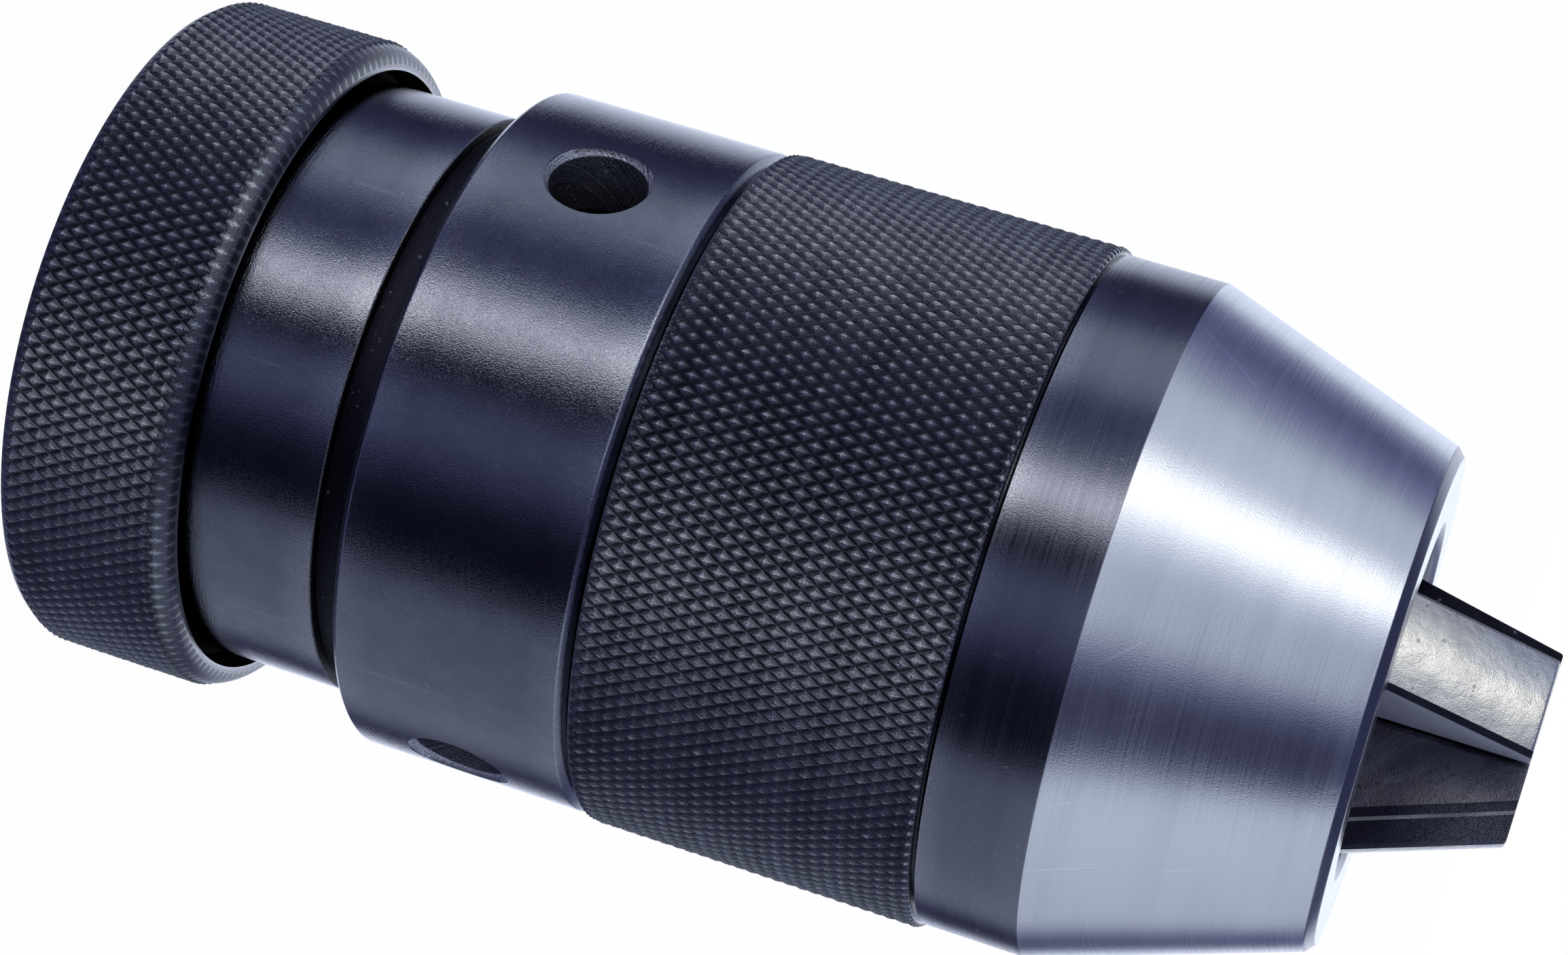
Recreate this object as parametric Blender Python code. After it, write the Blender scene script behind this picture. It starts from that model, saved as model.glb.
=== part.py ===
"""Keyless self-tightening drill chuck, standing on its rear face with the nose up.

The row frame has +Z along the chuck axis, its origin at the centre of the rear face and +X through
the first spanner hole. Lengths below are in millimetres; MM turns them into Blender's metres.

How it works: the outer group (hood, knurled sleeve, nose shell, jaw guide) turns on the body. The
drive screw and the jaws turn with it. The screw's left-hand thread runs in the body, so turning the
sleeve moves the screw along the axis, and its T-slots push the jaws along inclined guide slots.
"""
import math

import bmesh
import bpy
from mathutils import Matrix, Vector

MM = 0.001

# ---- driving dimensions, millimetres and degrees -------------------------------------------------
TOUCH_GAP = 0.3              # between pieces that touch or are pressed together
RUN_GAP = 0.4                # between pieces that turn or slide past each other
ROUND_STEPS = 48             # facets around a turned piece; divides by 3 and by 4
HOLE_STEPS = 20              # facets around a spanner hole or key
PIN_STEPS = 12               # facets around a dowel, a ball pocket or a plier hole

CAPACITY = 16.0              # largest drill shank
JAW_ANGLE = 20.0             # slope of the jaw backs and guide slots to the axis
JAW_COUNT = 3
JAW_CLOCKING = 22.8          # jaw 1 from the first spanner hole
JAW_WIDTH = 8.6              # across the flanks at the back
JAW_INNER_WIDTH = 4.6        # across the relieved flanks where they meet the gripping wedge
JAW_TIP_BACK = 8.2           # axis to the back of a closed jaw, at its tip
JAW_PROJECTION = 11.6        # closed tips in front of the nose face
JAW_TAIL_REACH = 15.8        # axis to the back of a closed jaw's tail
JAW_CORNER = 0.45            # chamfer on a jaw's outer corners
JAW_BACK_CROWN = 0.7         # rise of a jaw's round back above its corners
JAW_BACK_STEPS = 6           # facets across the round back
JAW_TIP_CHAMFER = 0.5
JAW_FACE_OFFSET = 0.2        # each gripping face from its dividing plane, so closed jaws don't meet

SOCKET_MOUTH_RADIUS = 8.585  # number 6 Jacobs short taper
SOCKET_TAPER = 0.0519        # change of diameter per millimetre of depth
SOCKET_DEPTH = 27.0
SOCKET_MOUTH_CHAMFER = 0.8
SOCKET_WEB = 2.0             # body material between the socket and the thread bore
DRIFT_HOLE_RADIUS = 4.0
HUB_RADIUS = 15.2
TUBE_WALL = 2.8
FLANGE_THICKNESS = 5.0
SCREW_RADIUS = 9.2           # crest radius of the left-hand thread
EDGE_CHAMFER = 0.5

BALL_COUNT = 16
BALL_RADIUS = 2.0
BALL_PITCH_RADIUS = 18.8
BALL_SEAT_GAP = 0.3
RACE_HALF_WIDTH = 3.2
RACE_THICKNESS = 2.7
RACE_TO_BALL_CENTRE = 1.8    # race face to ball centre; less than the ball radius, so it is grooved
CAGE_THICKNESS = 1.6
CAGE_POCKET_GAP = 0.35

RING_LENGTH = 14.8
RING_WEB = 9.0               # floor of the recess that the hood turns in
RING_WALL = 2.24
RING_REAR_CHAMFER = 1.14     # along the axis
RING_REAR_STEP = 0.79        # across it
RING_FRONT_CHAMFER = 1.7
RING_GAP = 1.18              # hood to the ring's recess, filled by the seal at its bottom
SEAL_HEIGHT = 3.0
KEY_RADIUS = 1.5
KEY_LENGTH = 7.0
KEY_INSET = 0.5
KEY_HEX_FLATS = 1.5
KEY_HEX_DEPTH = 1.6

HOOD_START_GAP = 1.2         # recess floor to the hood
HOOD_LIP = 3.4
HOOD_REAR_LENGTH = 15.5
HOOD_REAR_WALL = 2.37
GROOVE_LENGTH = 3.26
GROOVE_WALL = 1.3
COLLAR_LENGTH = 18.94
COLLAR_STEP = 0.46           # collar below the sleeve's knurl
COLLAR_FRONT_LAND = 0.8      # chamfered step between collar and sleeve
JOINT_LENGTH = 7.3           # screwed joints at both ends of the sleeve
JOINT_WALL = 1.6
SLEEVE_LENGTH = 28.2
SLEEVE_COVER = 1.70          # sleeve wall outside the screwed joints
SPANNER_HOLES = 3
SPANNER_HOLE_RADIUS = 3.9
SPANNER_HOLE_CHAMFER = 0.4

WASHER_THICKNESS = 1.4
SPRING_THICKNESS = 0.5
SPRING_WAVE = 0.8            # crest height above the middle plane
SPRING_WAVES = 4
CIRCLIP_THICKNESS = 1.6
CIRCLIP_WIDTH = 3.3
CIRCLIP_BITE = 0.7           # into the hood's groove
CIRCLIP_OPENING = 30.0
CIRCLIP_LUG_ANGLE = 12.0
CIRCLIP_LUG_DEPTH = 1.8
CIRCLIP_HOLE_RADIUS = 0.9

BAND_STEP = 0.57             # black band below the sleeve's knurl
BAND_LENGTH = 8.3
CONE_LENGTH = 20.7
CONE_FRONT_RADIUS = 20.7
NOSE_EDGE_STEP = 0.8
NOSE_EDGE_LENGTH = 0.7
NOSE_HOLE_RADIUS = 14.2
NOSE_WALL = 2.6              # front wall, and the guide's seat behind it
CONE_WALL = 2.4              # across the axis
GUIDE_LENGTH = 15.0
GUIDE_BORE_RADIUS = 9.0
DOWEL_RADIUS = 1.0
DOWEL_LENGTH = 3.2
DOWEL_INSET = 1.1            # dowel axis inside the guide's rear corner

HEAD_THICKNESS = 12.4
HEAD_GAP = 0.8               # closed screw head to the guide
HEAD_EDGE = 0.4              # head beyond the open jaws' tails
HEAD_COUNTERBORE = 4.4       # lets the open screw swallow the body's tube
TEE_LIP = 2.6
TEE_THICKNESS = 2.6
TEE_WIDTH = 9.4
TEE_INNER = 4.0              # axis to the inner end of a closed jaw's T
STEM_WIDTH = 5.6

# ---- sizes that follow ---------------------------------------------------------------------------
JAW_SLOPE = math.tan(math.radians(JAW_ANGLE))
RADIAL_TRAVEL = CAPACITY / 2
AXIAL_TRAVEL = RADIAL_TRAVEL / JAW_SLOPE

HEAD_RADIUS = JAW_TAIL_REACH + RADIAL_TRAVEL + HEAD_EDGE
OPEN_JAW_RADIUS = math.hypot(JAW_TAIL_REACH + RADIAL_TRAVEL - JAW_BACK_CROWN, JAW_WIDTH / 2)
CAVITY_RADIUS = max(HEAD_RADIUS, OPEN_JAW_RADIUS) + RUN_GAP + TOUCH_GAP
HOOD_BORE = BALL_PITCH_RADIUS + RACE_HALF_WIDTH + RUN_GAP
JOINT_RADIUS = max(CAVITY_RADIUS, HOOD_BORE) + JOINT_WALL
GRIP_RADIUS = JOINT_RADIUS + TOUCH_GAP + SLEEVE_COVER
COLLAR_RADIUS = GRIP_RADIUS - COLLAR_STEP
BAND_RADIUS = GRIP_RADIUS - BAND_STEP
HOOD_REAR_RADIUS = HOOD_BORE + HOOD_REAR_WALL
GROOVE_RADIUS = HOOD_BORE + GROOVE_WALL
RECESS_RADIUS = HOOD_REAR_RADIUS + RING_GAP
RING_RADIUS = RECESS_RADIUS + RING_WALL
RACE_INNER = BALL_PITCH_RADIUS - RACE_HALF_WIDTH
THREAD_BORE = SCREW_RADIUS + RUN_GAP
TUBE_RADIUS = THREAD_BORE + TUBE_WALL

# stations along the axis, from the rear face
HOOD_START = RING_WEB + HOOD_START_GAP
LIP_END = HOOD_START + HOOD_LIP
REAR_RACE_START = LIP_END + TOUCH_GAP
BALL_PLANE = REAR_RACE_START + RACE_THICKNESS + RACE_TO_BALL_CENTRE
FRONT_RACE_START = BALL_PLANE + RACE_TO_BALL_CENTRE
FLANGE_START = FRONT_RACE_START + RACE_THICKNESS + TOUCH_GAP
FLANGE_END = FLANGE_START + FLANGE_THICKNESS
WASHER_START = FLANGE_END + RUN_GAP
SPRING_MIDDLE = WASHER_START + WASHER_THICKNESS + TOUCH_GAP + SPRING_WAVE + SPRING_THICKNESS / 2
CIRCLIP_START = SPRING_MIDDLE + SPRING_WAVE + SPRING_THICKNESS / 2 + TOUCH_GAP
GROOVE_START = HOOD_START + HOOD_REAR_LENGTH
COLLAR_START = GROOVE_START + GROOVE_LENGTH
COLLAR_END = COLLAR_START + COLLAR_LENGTH
HOOD_SHOULDER = COLLAR_END + COLLAR_FRONT_LAND
SLEEVE_START = HOOD_SHOULDER + TOUCH_GAP
SLEEVE_END = SLEEVE_START + SLEEVE_LENGTH
NOSE_START = SLEEVE_END + TOUCH_GAP
CONE_START = NOSE_START + BAND_LENGTH
CONE_END = CONE_START + CONE_LENGTH
NOSE_FACE = CONE_END + NOSE_EDGE_LENGTH
JAW_TIP = NOSE_FACE + JAW_PROJECTION
GUIDE_END = NOSE_FACE - NOSE_WALL - TOUCH_GAP
GUIDE_START = GUIDE_END - GUIDE_LENGTH
HEAD_FRONT = GUIDE_START - HEAD_GAP
HEAD_REAR = HEAD_FRONT - HEAD_THICKNESS
THREAD_START = SOCKET_DEPTH + SOCKET_WEB
TUBE_END = HEAD_REAR - AXIAL_TRAVEL + HEAD_COUNTERBORE - TOUCH_GAP
SHANK_REAR = THREAD_START + TOUCH_GAP + AXIAL_TRAVEL
TEE_TOP = HEAD_FRONT - TEE_LIP - TOUCH_GAP
TEE_BOTTOM = TEE_TOP - TEE_THICKNESS
JAW_BOTTOM = HEAD_FRONT + RUN_GAP


def cone_radius(z):
    """Outside radius of the nose cone at station z: a straight line from band to front edge."""
    share = (z - CONE_START) / CONE_LENGTH
    return BAND_RADIUS + share * (CONE_FRONT_RADIUS - BAND_RADIUS)


def jaw_back(z):
    """Radius of a closed jaw's sloping back at station z."""
    return JAW_TIP_BACK + (JAW_TIP - z) * JAW_SLOPE


# ---- helpers -------------------------------------------------------------------------------------
def make_object(name, mesh_builder, material, location=(0, 0, 0), turn=0.0, parent=None):
    """New object from a bmesh; location in millimetres, turn about Z in degrees."""
    bmesh.ops.recalc_face_normals(mesh_builder, faces=mesh_builder.faces)
    bmesh.ops.scale(mesh_builder, vec=(MM, MM, MM), verts=mesh_builder.verts)
    mesh = bpy.data.meshes.new(name)
    mesh_builder.to_mesh(mesh)
    mesh_builder.free()
    mesh.shade_smooth()
    mesh.set_sharp_from_angle(angle=math.radians(30))
    thing = bpy.data.objects.new(name, mesh)
    if material:
        mesh.materials.append(material)
    bpy.context.scene.collection.objects.link(thing)
    thing.location = Vector(location) * MM
    thing.rotation_euler.z = math.radians(turn)
    thing.parent = parent
    return thing


def turned(outline, steps=ROUND_STEPS):
    """Bmesh of an outline of (radius, z) points turned about Z.

    A ring's outline is closed. A solid's outline starts and ends on the axis and stays open there.
    """
    bm = bmesh.new()
    points = [bm.verts.new((r, 0, z)) for r, z in outline]
    edges = [bm.edges.new(pair) for pair in zip(points, points[1:])]
    if outline[0][0] > 0:
        edges.append(bm.edges.new((points[-1], points[0])))
    bmesh.ops.spin(bm, geom=points + edges, cent=(0, 0, 0), axis=(0, 0, 1),
                   angle=2 * math.pi, steps=steps)
    bmesh.ops.remove_doubles(bm, verts=bm.verts, dist=1e-4)
    return bm


def turned_piece(name, outline, start, material, steps=ROUND_STEPS, parent=None):
    """Turned piece whose outline uses stations; its origin is on the axis at its own start."""
    local = [(r, z - start) for r, z in outline]
    return make_object(name, turned(local, steps), material, (0, 0, start), parent=parent)


def prism(outline, thickness, lift):
    """Bmesh of a flat outline in XY raised along Z from lift by thickness."""
    bm = bmesh.new()
    face = bm.faces.new([bm.verts.new((x, y, lift)) for x, y in outline])
    raised = bmesh.ops.extrude_face_region(bm, geom=[face])
    moved = [part for part in raised["geom"] if isinstance(part, bmesh.types.BMVert)]
    bmesh.ops.translate(bm, vec=(0, 0, thickness), verts=moved)
    return bm


def box(low, high):
    """Bmesh box between two corners."""
    size = Vector(high) - Vector(low)
    middle = (Vector(high) + Vector(low)) / 2
    bm = bmesh.new()
    bmesh.ops.create_cube(bm, size=1, matrix=Matrix.Translation(middle) @ Matrix.Diagonal((*size, 1)))
    return bm


def cutter(name, mesh_builder, location=(0, 0, 0), turn=0.0, parent=None):
    """Guide body for a Boolean; it is drawn as wire and is no part of the chuck."""
    tool = make_object(name, mesh_builder, None, location, turn, parent)
    tool.hide_render = True
    tool.display_type = "WIRE"
    return tool


def combine(target, tool, operation="DIFFERENCE"):
    """Boolean of a target with a tool, kept live on the target."""
    step = target.modifiers.new(tool.name, "BOOLEAN")
    step.operation = operation
    step.object = tool
    step.solver = "EXACT"


def metal(name, colour, roughness, metallic=1.0):
    """Plain Principled material."""
    material = bpy.data.materials.new(name)
    material.use_nodes = True
    shader = material.node_tree.nodes["Principled BSDF"]
    shader.inputs["Base Color"].default_value = (*colour, 1.0)
    shader.inputs["Roughness"].default_value = roughness
    shader.inputs["Metallic"].default_value = metallic
    material.diffuse_color = (*colour, 1.0)
    return material


def around(count):
    """Angles in degrees of evenly spaced copies."""
    return [index * 360.0 / count for index in range(count)]


def place(radius, angle, z=0.0):
    """Point at a radius and an angle in degrees."""
    turn = math.radians(angle)
    return (radius * math.cos(turn), radius * math.sin(turn), z)


def axis_empty(name, z):
    """Empty on the chuck axis that carries one moving group."""
    empty = bpy.data.objects.new(name, None)
    bpy.context.scene.collection.objects.link(empty)
    empty.location = (0, 0, z * MM)
    return empty


# ---- fixed pieces --------------------------------------------------------------------------------
def build_body():
    """Arbor socket, hub, bearing flange and the front tube whose bore is threaded left-handed."""
    socket_end = SOCKET_MOUTH_RADIUS - SOCKET_DEPTH * SOCKET_TAPER / 2
    flange = HOOD_BORE - RUN_GAP
    outline = [
        (SOCKET_MOUTH_RADIUS + SOCKET_MOUTH_CHAMFER, 0),
        (HUB_RADIUS - EDGE_CHAMFER, 0),
        (HUB_RADIUS, EDGE_CHAMFER),
        (HUB_RADIUS, FLANGE_START),
        (flange, FLANGE_START),
        (flange, FLANGE_END - EDGE_CHAMFER),
        (flange - EDGE_CHAMFER, FLANGE_END),
        (TUBE_RADIUS, FLANGE_END),
        (TUBE_RADIUS, TUBE_END - EDGE_CHAMFER),
        (TUBE_RADIUS - EDGE_CHAMFER, TUBE_END),
        (THREAD_BORE + EDGE_CHAMFER, TUBE_END),
        (THREAD_BORE, TUBE_END - EDGE_CHAMFER),
        (THREAD_BORE, THREAD_START),
        (DRIFT_HOLE_RADIUS, THREAD_START),
        (DRIFT_HOLE_RADIUS, SOCKET_DEPTH),
        (socket_end, SOCKET_DEPTH),
        (SOCKET_MOUTH_RADIUS, SOCKET_MOUTH_CHAMFER),
    ]
    return turned_piece("body", outline, 0, metal("body_steel", (0.10, 0.11, 0.13), 0.45))


def build_rear_ring():
    """Cup-shaped holding ring pressed on the hub, with the recess that the hood turns in."""
    outline = [
        (HUB_RADIUS + TOUCH_GAP, 0),
        (RING_RADIUS - RING_REAR_STEP, 0),
        (RING_RADIUS, RING_REAR_CHAMFER),
        (RING_RADIUS, RING_LENGTH - RING_FRONT_CHAMFER),
        (RING_RADIUS - RING_FRONT_CHAMFER, RING_LENGTH),
        (RECESS_RADIUS, RING_LENGTH),
        (RECESS_RADIUS, RING_WEB),
        (HUB_RADIUS + TOUCH_GAP, RING_WEB),
    ]
    return turned_piece("rear_ring", outline, 0, metal("ring_black_oxide", (0.03, 0.035, 0.045), 0.42))


def build_ring_keys(body, ring):
    """Grub screws set on the joint line of hub and ring, so that the ring cannot turn."""
    steel = metal("key_steel", (0.12, 0.12, 0.13), 0.4)
    key_circle = HUB_RADIUS + TOUCH_GAP / 2
    hole_length = KEY_INSET + KEY_LENGTH + TOUCH_GAP
    for number, angle in enumerate(around(3), start=1):
        centre = place(key_circle, angle + 60)
        hole = cutter(f"key_hole_{number}", turned(
            [(0, -1), (KEY_RADIUS + TOUCH_GAP, -1), (KEY_RADIUS + TOUCH_GAP, hole_length),
             (0, hole_length)], HOLE_STEPS), centre)
        combine(body, hole)
        combine(ring, hole)
        key = make_object(f"ring_key_{number}", turned(
            [(0, 0), (KEY_RADIUS, 0), (KEY_RADIUS, KEY_LENGTH), (0, KEY_LENGTH)], HOLE_STEPS),
            steel, (centre[0], centre[1], KEY_INSET), angle)
        corner = KEY_HEX_FLATS / 2 / math.cos(math.radians(30))
        socket = cutter(f"key_socket_{number}", turned(
            [(0, -1), (corner, -1), (corner, KEY_HEX_DEPTH), (0, KEY_HEX_DEPTH)], 6),
            (centre[0], centre[1], KEY_INSET), angle)
        combine(key, socket)


def build_dust_seal():
    """Felt ring at the bottom of the ring's recess."""
    inner = HOOD_REAR_RADIUS + TOUCH_GAP
    outer = RECESS_RADIUS - TOUCH_GAP
    low = RING_WEB + TOUCH_GAP
    outline = [(inner, low), (outer, low), (outer, low + SEAL_HEIGHT), (inner, low + SEAL_HEIGHT)]
    turned_piece("dust_seal", outline, low, metal("felt", (0.05, 0.045, 0.04), 0.9, 0.0))


# ---- bearing -------------------------------------------------------------------------------------
def race_outline(inner, outer, flat, face, ball_side):
    """Race between a flat side and a grooved face; the groove is an arc about the ball centre."""
    groove = BALL_RADIUS + BALL_SEAT_GAP
    half_angle = math.acos(RACE_TO_BALL_CENTRE / groove)
    arc = []
    for share in (-1, -0.5, 0, 0.5, 1):
        angle = share * half_angle
        arc.append((BALL_PITCH_RADIUS + groove * math.sin(angle),
                    BALL_PLANE - ball_side * groove * math.cos(angle)))
    return [(inner, flat), (inner, face)] + arc + [(outer, face), (outer, flat)]


def build_races(outer_group):
    """Rear race turns with the hood, front race stands on the body's flange."""
    steel = metal("race_steel", (0.62, 0.63, 0.65), 0.2)
    rear_face = REAR_RACE_START + RACE_THICKNESS
    rear = race_outline(HUB_RADIUS + RUN_GAP, HOOD_BORE - TOUCH_GAP, REAR_RACE_START, rear_face, 1)
    turned_piece("rear_race", rear, 0, steel, parent=outer_group)
    front_flat = FRONT_RACE_START + RACE_THICKNESS
    front = race_outline(HUB_RADIUS + TOUCH_GAP, HOOD_BORE - RUN_GAP, front_flat,
                         FRONT_RACE_START, -1)
    turned_piece("front_race", front, 0, steel)


def build_ball_train(train):
    """Brass cage with one pocket for each ball."""
    brass = metal("cage_brass", (0.72, 0.52, 0.22), 0.35)
    chrome = metal("ball_steel", (0.75, 0.76, 0.78), 0.12)
    half = CAGE_THICKNESS / 2
    cage_inner = HUB_RADIUS + RUN_GAP + TOUCH_GAP
    cage_outer = HOOD_BORE - RUN_GAP - TOUCH_GAP
    cage = make_object("ball_cage", turned([(cage_inner, -half), (cage_outer, -half),
                                            (cage_outer, half), (cage_inner, half)]),
                       brass, parent=train)
    for number, angle in enumerate(around(BALL_COUNT), start=1):
        centre = place(BALL_PITCH_RADIUS, angle)
        pocket = turned([(0, -2 * half), (BALL_RADIUS + CAGE_POCKET_GAP, -2 * half),
                         (BALL_RADIUS + CAGE_POCKET_GAP, 2 * half), (0, 2 * half)], PIN_STEPS)
        flat_outwards = angle + 180 / PIN_STEPS
        combine(cage, cutter(f"pocket_{number:02d}", pocket, centre, flat_outwards, train))
        sphere = bmesh.new()
        bmesh.ops.create_uvsphere(sphere, u_segments=10, v_segments=6, radius=BALL_RADIUS)
        make_object(f"ball_{number:02d}", sphere, chrome, centre, parent=train)


def build_preload(outer_group):
    """Friction washer, wave spring and the circlip that keeps them in the hood."""
    bronze = metal("washer_bronze", (0.55, 0.36, 0.18), 0.4)
    spring_steel = metal("spring_steel", (0.30, 0.31, 0.33), 0.35)
    inner = TUBE_RADIUS + RUN_GAP
    outer = HOOD_BORE - TOUCH_GAP
    washer_end = WASHER_START + WASHER_THICKNESS
    turned_piece("friction_washer", [(inner, WASHER_START), (outer, WASHER_START),
                                     (outer, washer_end), (inner, washer_end)],
                 0, bronze, parent=outer_group)

    wave = bmesh.new()
    rings = []
    spring_inner = (inner + outer) / 2
    for step in range(ROUND_STEPS):
        angle = 360.0 * step / ROUND_STEPS
        middle = SPRING_MIDDLE + SPRING_WAVE * math.sin(math.radians(angle * SPRING_WAVES))
        low, high = middle - SPRING_THICKNESS / 2, middle + SPRING_THICKNESS / 2
        rings.append([wave.verts.new(place(radius, angle, z)) for radius, z in
                      ((spring_inner, low), (outer, low), (outer, high), (spring_inner, high))])
    for step, ring in enumerate(rings):
        following = rings[(step + 1) % ROUND_STEPS]
        for corner in range(4):
            after = (corner + 1) % 4
            wave.faces.new((ring[corner], ring[after], following[after], following[corner]))
    make_object("wave_spring", wave, spring_steel, parent=outer_group)

    clip_outer = HOOD_BORE + CIRCLIP_BITE
    clip_inner = clip_outer - CIRCLIP_WIDTH
    half_opening = CIRCLIP_OPENING / 2
    lug_end = half_opening + CIRCLIP_LUG_ANGLE
    steps = ROUND_STEPS
    sweep = [half_opening + (360 - CIRCLIP_OPENING) * step / steps for step in range(steps + 1)]
    back = [lug_end + (360 - 2 * lug_end) * step / steps for step in range(steps, -1, -1)]
    lug = clip_inner - CIRCLIP_LUG_DEPTH
    outline = [place(clip_outer, angle)[:2] for angle in sweep]
    outline += [place(lug, angle)[:2] for angle in (360 - half_opening, 360 - lug_end)]
    outline += [place(clip_inner, angle)[:2] for angle in back]
    outline += [place(lug, angle)[:2] for angle in (lug_end, half_opening)]
    clip = make_object("retaining_ring", prism(outline, CIRCLIP_THICKNESS, CIRCLIP_START),
                       spring_steel, parent=outer_group)
    for number, side in enumerate((1, -1), start=1):
        centre = place((lug + clip_inner + 1) / 2, side * (half_opening + lug_end) / 2, CIRCLIP_START - 1)
        hole = turned([(0, 0), (CIRCLIP_HOLE_RADIUS, 0), (CIRCLIP_HOLE_RADIUS, CIRCLIP_THICKNESS + 2),
                       (0, CIRCLIP_THICKNESS + 2)], PIN_STEPS)
        combine(clip, cutter(f"plier_hole_{number}", hole, centre, parent=outer_group))


# ---- outer group ---------------------------------------------------------------------------------
def build_hood(outer_group):
    """Rear cylinder, groove, collar with spanner holes and the spigot that the sleeve screws on.

    The mouth is bored wide enough for the screw's head, which dips into it when the jaws are open.
    """
    spigot_end = HOOD_SHOULDER + JOINT_LENGTH
    clip_groove = HOOD_BORE + CIRCLIP_BITE + TOUCH_GAP
    mouth_bore = max(CAVITY_RADIUS, HOOD_BORE)
    mouth_start = min(HEAD_REAR - AXIAL_TRAVEL - RUN_GAP, HOOD_SHOULDER)
    outline = [
        (HUB_RADIUS + RUN_GAP, HOOD_START),
        (HOOD_REAR_RADIUS - EDGE_CHAMFER, HOOD_START),
        (HOOD_REAR_RADIUS, HOOD_START + EDGE_CHAMFER),
        (HOOD_REAR_RADIUS, GROOVE_START),
        (GROOVE_RADIUS, GROOVE_START),
        (GROOVE_RADIUS, COLLAR_START),
        (COLLAR_RADIUS - EDGE_CHAMFER, COLLAR_START),
        (COLLAR_RADIUS, COLLAR_START + EDGE_CHAMFER),
        (COLLAR_RADIUS, COLLAR_END),
        (COLLAR_RADIUS - COLLAR_FRONT_LAND, HOOD_SHOULDER),
        (JOINT_RADIUS, HOOD_SHOULDER),
        (JOINT_RADIUS, spigot_end),
        (mouth_bore, spigot_end),
        (mouth_bore, mouth_start),
        (HOOD_BORE, mouth_start - EDGE_CHAMFER),
        (HOOD_BORE, CIRCLIP_START + CIRCLIP_THICKNESS + TOUCH_GAP),
        (clip_groove, CIRCLIP_START + CIRCLIP_THICKNESS + TOUCH_GAP),
        (clip_groove, CIRCLIP_START - TOUCH_GAP),
        (HOOD_BORE, CIRCLIP_START - TOUCH_GAP),
        (HOOD_BORE, LIP_END),
        (HUB_RADIUS + RUN_GAP, LIP_END),
    ]
    black = metal("hood_black_oxide", (0.035, 0.04, 0.05), 0.38)
    hood = turned_piece("hood", outline, 0, black, parent=outer_group)
    hole_middle = (COLLAR_START + COLLAR_END) / 2
    mouth = SPANNER_HOLE_RADIUS + SPANNER_HOLE_CHAMFER
    through = COLLAR_RADIUS - HOOD_BORE + 2
    for number, angle in enumerate(around(SPANNER_HOLES), start=1):
        plug = turned([(0, -through), (SPANNER_HOLE_RADIUS, -through),
                       (SPANNER_HOLE_RADIUS, -2 * SPANNER_HOLE_CHAMFER),
                       (mouth, -SPANNER_HOLE_CHAMFER), (mouth, 2), (0, 2)], HOLE_STEPS)
        tool = cutter(f"spanner_hole_{number}", plug, place(COLLAR_RADIUS, angle, hole_middle),
                      angle, outer_group)
        tool.rotation_euler.y = math.pi / 2
        combine(hood, tool)


def build_sleeve(outer_group):
    """Knurled sleeve; screwed joints at both ends, the jaws' cavity between them."""
    bore = max(CAVITY_RADIUS, HOOD_BORE)
    joint = JOINT_RADIUS + TOUCH_GAP
    rear_step = HOOD_SHOULDER + JOINT_LENGTH + TOUCH_GAP
    front_step = NOSE_START - JOINT_LENGTH - TOUCH_GAP
    outline = [
        (joint, SLEEVE_START),
        (GRIP_RADIUS - EDGE_CHAMFER, SLEEVE_START),
        (GRIP_RADIUS, SLEEVE_START + EDGE_CHAMFER),
        (GRIP_RADIUS, SLEEVE_END - EDGE_CHAMFER),
        (GRIP_RADIUS - EDGE_CHAMFER, SLEEVE_END),
        (joint, SLEEVE_END),
        (joint, front_step),
        (bore, front_step),
        (bore, rear_step),
        (joint, rear_step),
    ]
    black = metal("sleeve_black_oxide", (0.035, 0.04, 0.05), 0.4)
    turned_piece("knurled_sleeve", outline, 0, black, parent=outer_group)


def build_nose(outer_group):
    """Black band, ground cone and front face in one shell, with the guide's conical seat inside."""
    bore = max(CAVITY_RADIUS, HOOD_BORE)
    seat_start = GUIDE_START - TOUCH_GAP
    seat_end = GUIDE_END + TOUCH_GAP
    outline = [
        (bore, NOSE_START - JOINT_LENGTH),
        (JOINT_RADIUS, NOSE_START - JOINT_LENGTH),
        (JOINT_RADIUS, NOSE_START),
        (BAND_RADIUS, NOSE_START),
        (BAND_RADIUS, CONE_START),
        (CONE_FRONT_RADIUS, CONE_END),
        (CONE_FRONT_RADIUS - NOSE_EDGE_STEP, NOSE_FACE),
        (NOSE_HOLE_RADIUS + EDGE_CHAMFER, NOSE_FACE),
        (NOSE_HOLE_RADIUS, NOSE_FACE - EDGE_CHAMFER),
        (NOSE_HOLE_RADIUS, seat_end),
        (cone_radius(seat_end) - CONE_WALL, seat_end),
        (cone_radius(seat_start) - CONE_WALL, seat_start),
        (bore, seat_start),
    ]
    ground = metal("nose_ground_steel", (0.55, 0.57, 0.60), 0.25)
    return turned_piece("nose_shell", outline, 0, ground, parent=outer_group)


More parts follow.
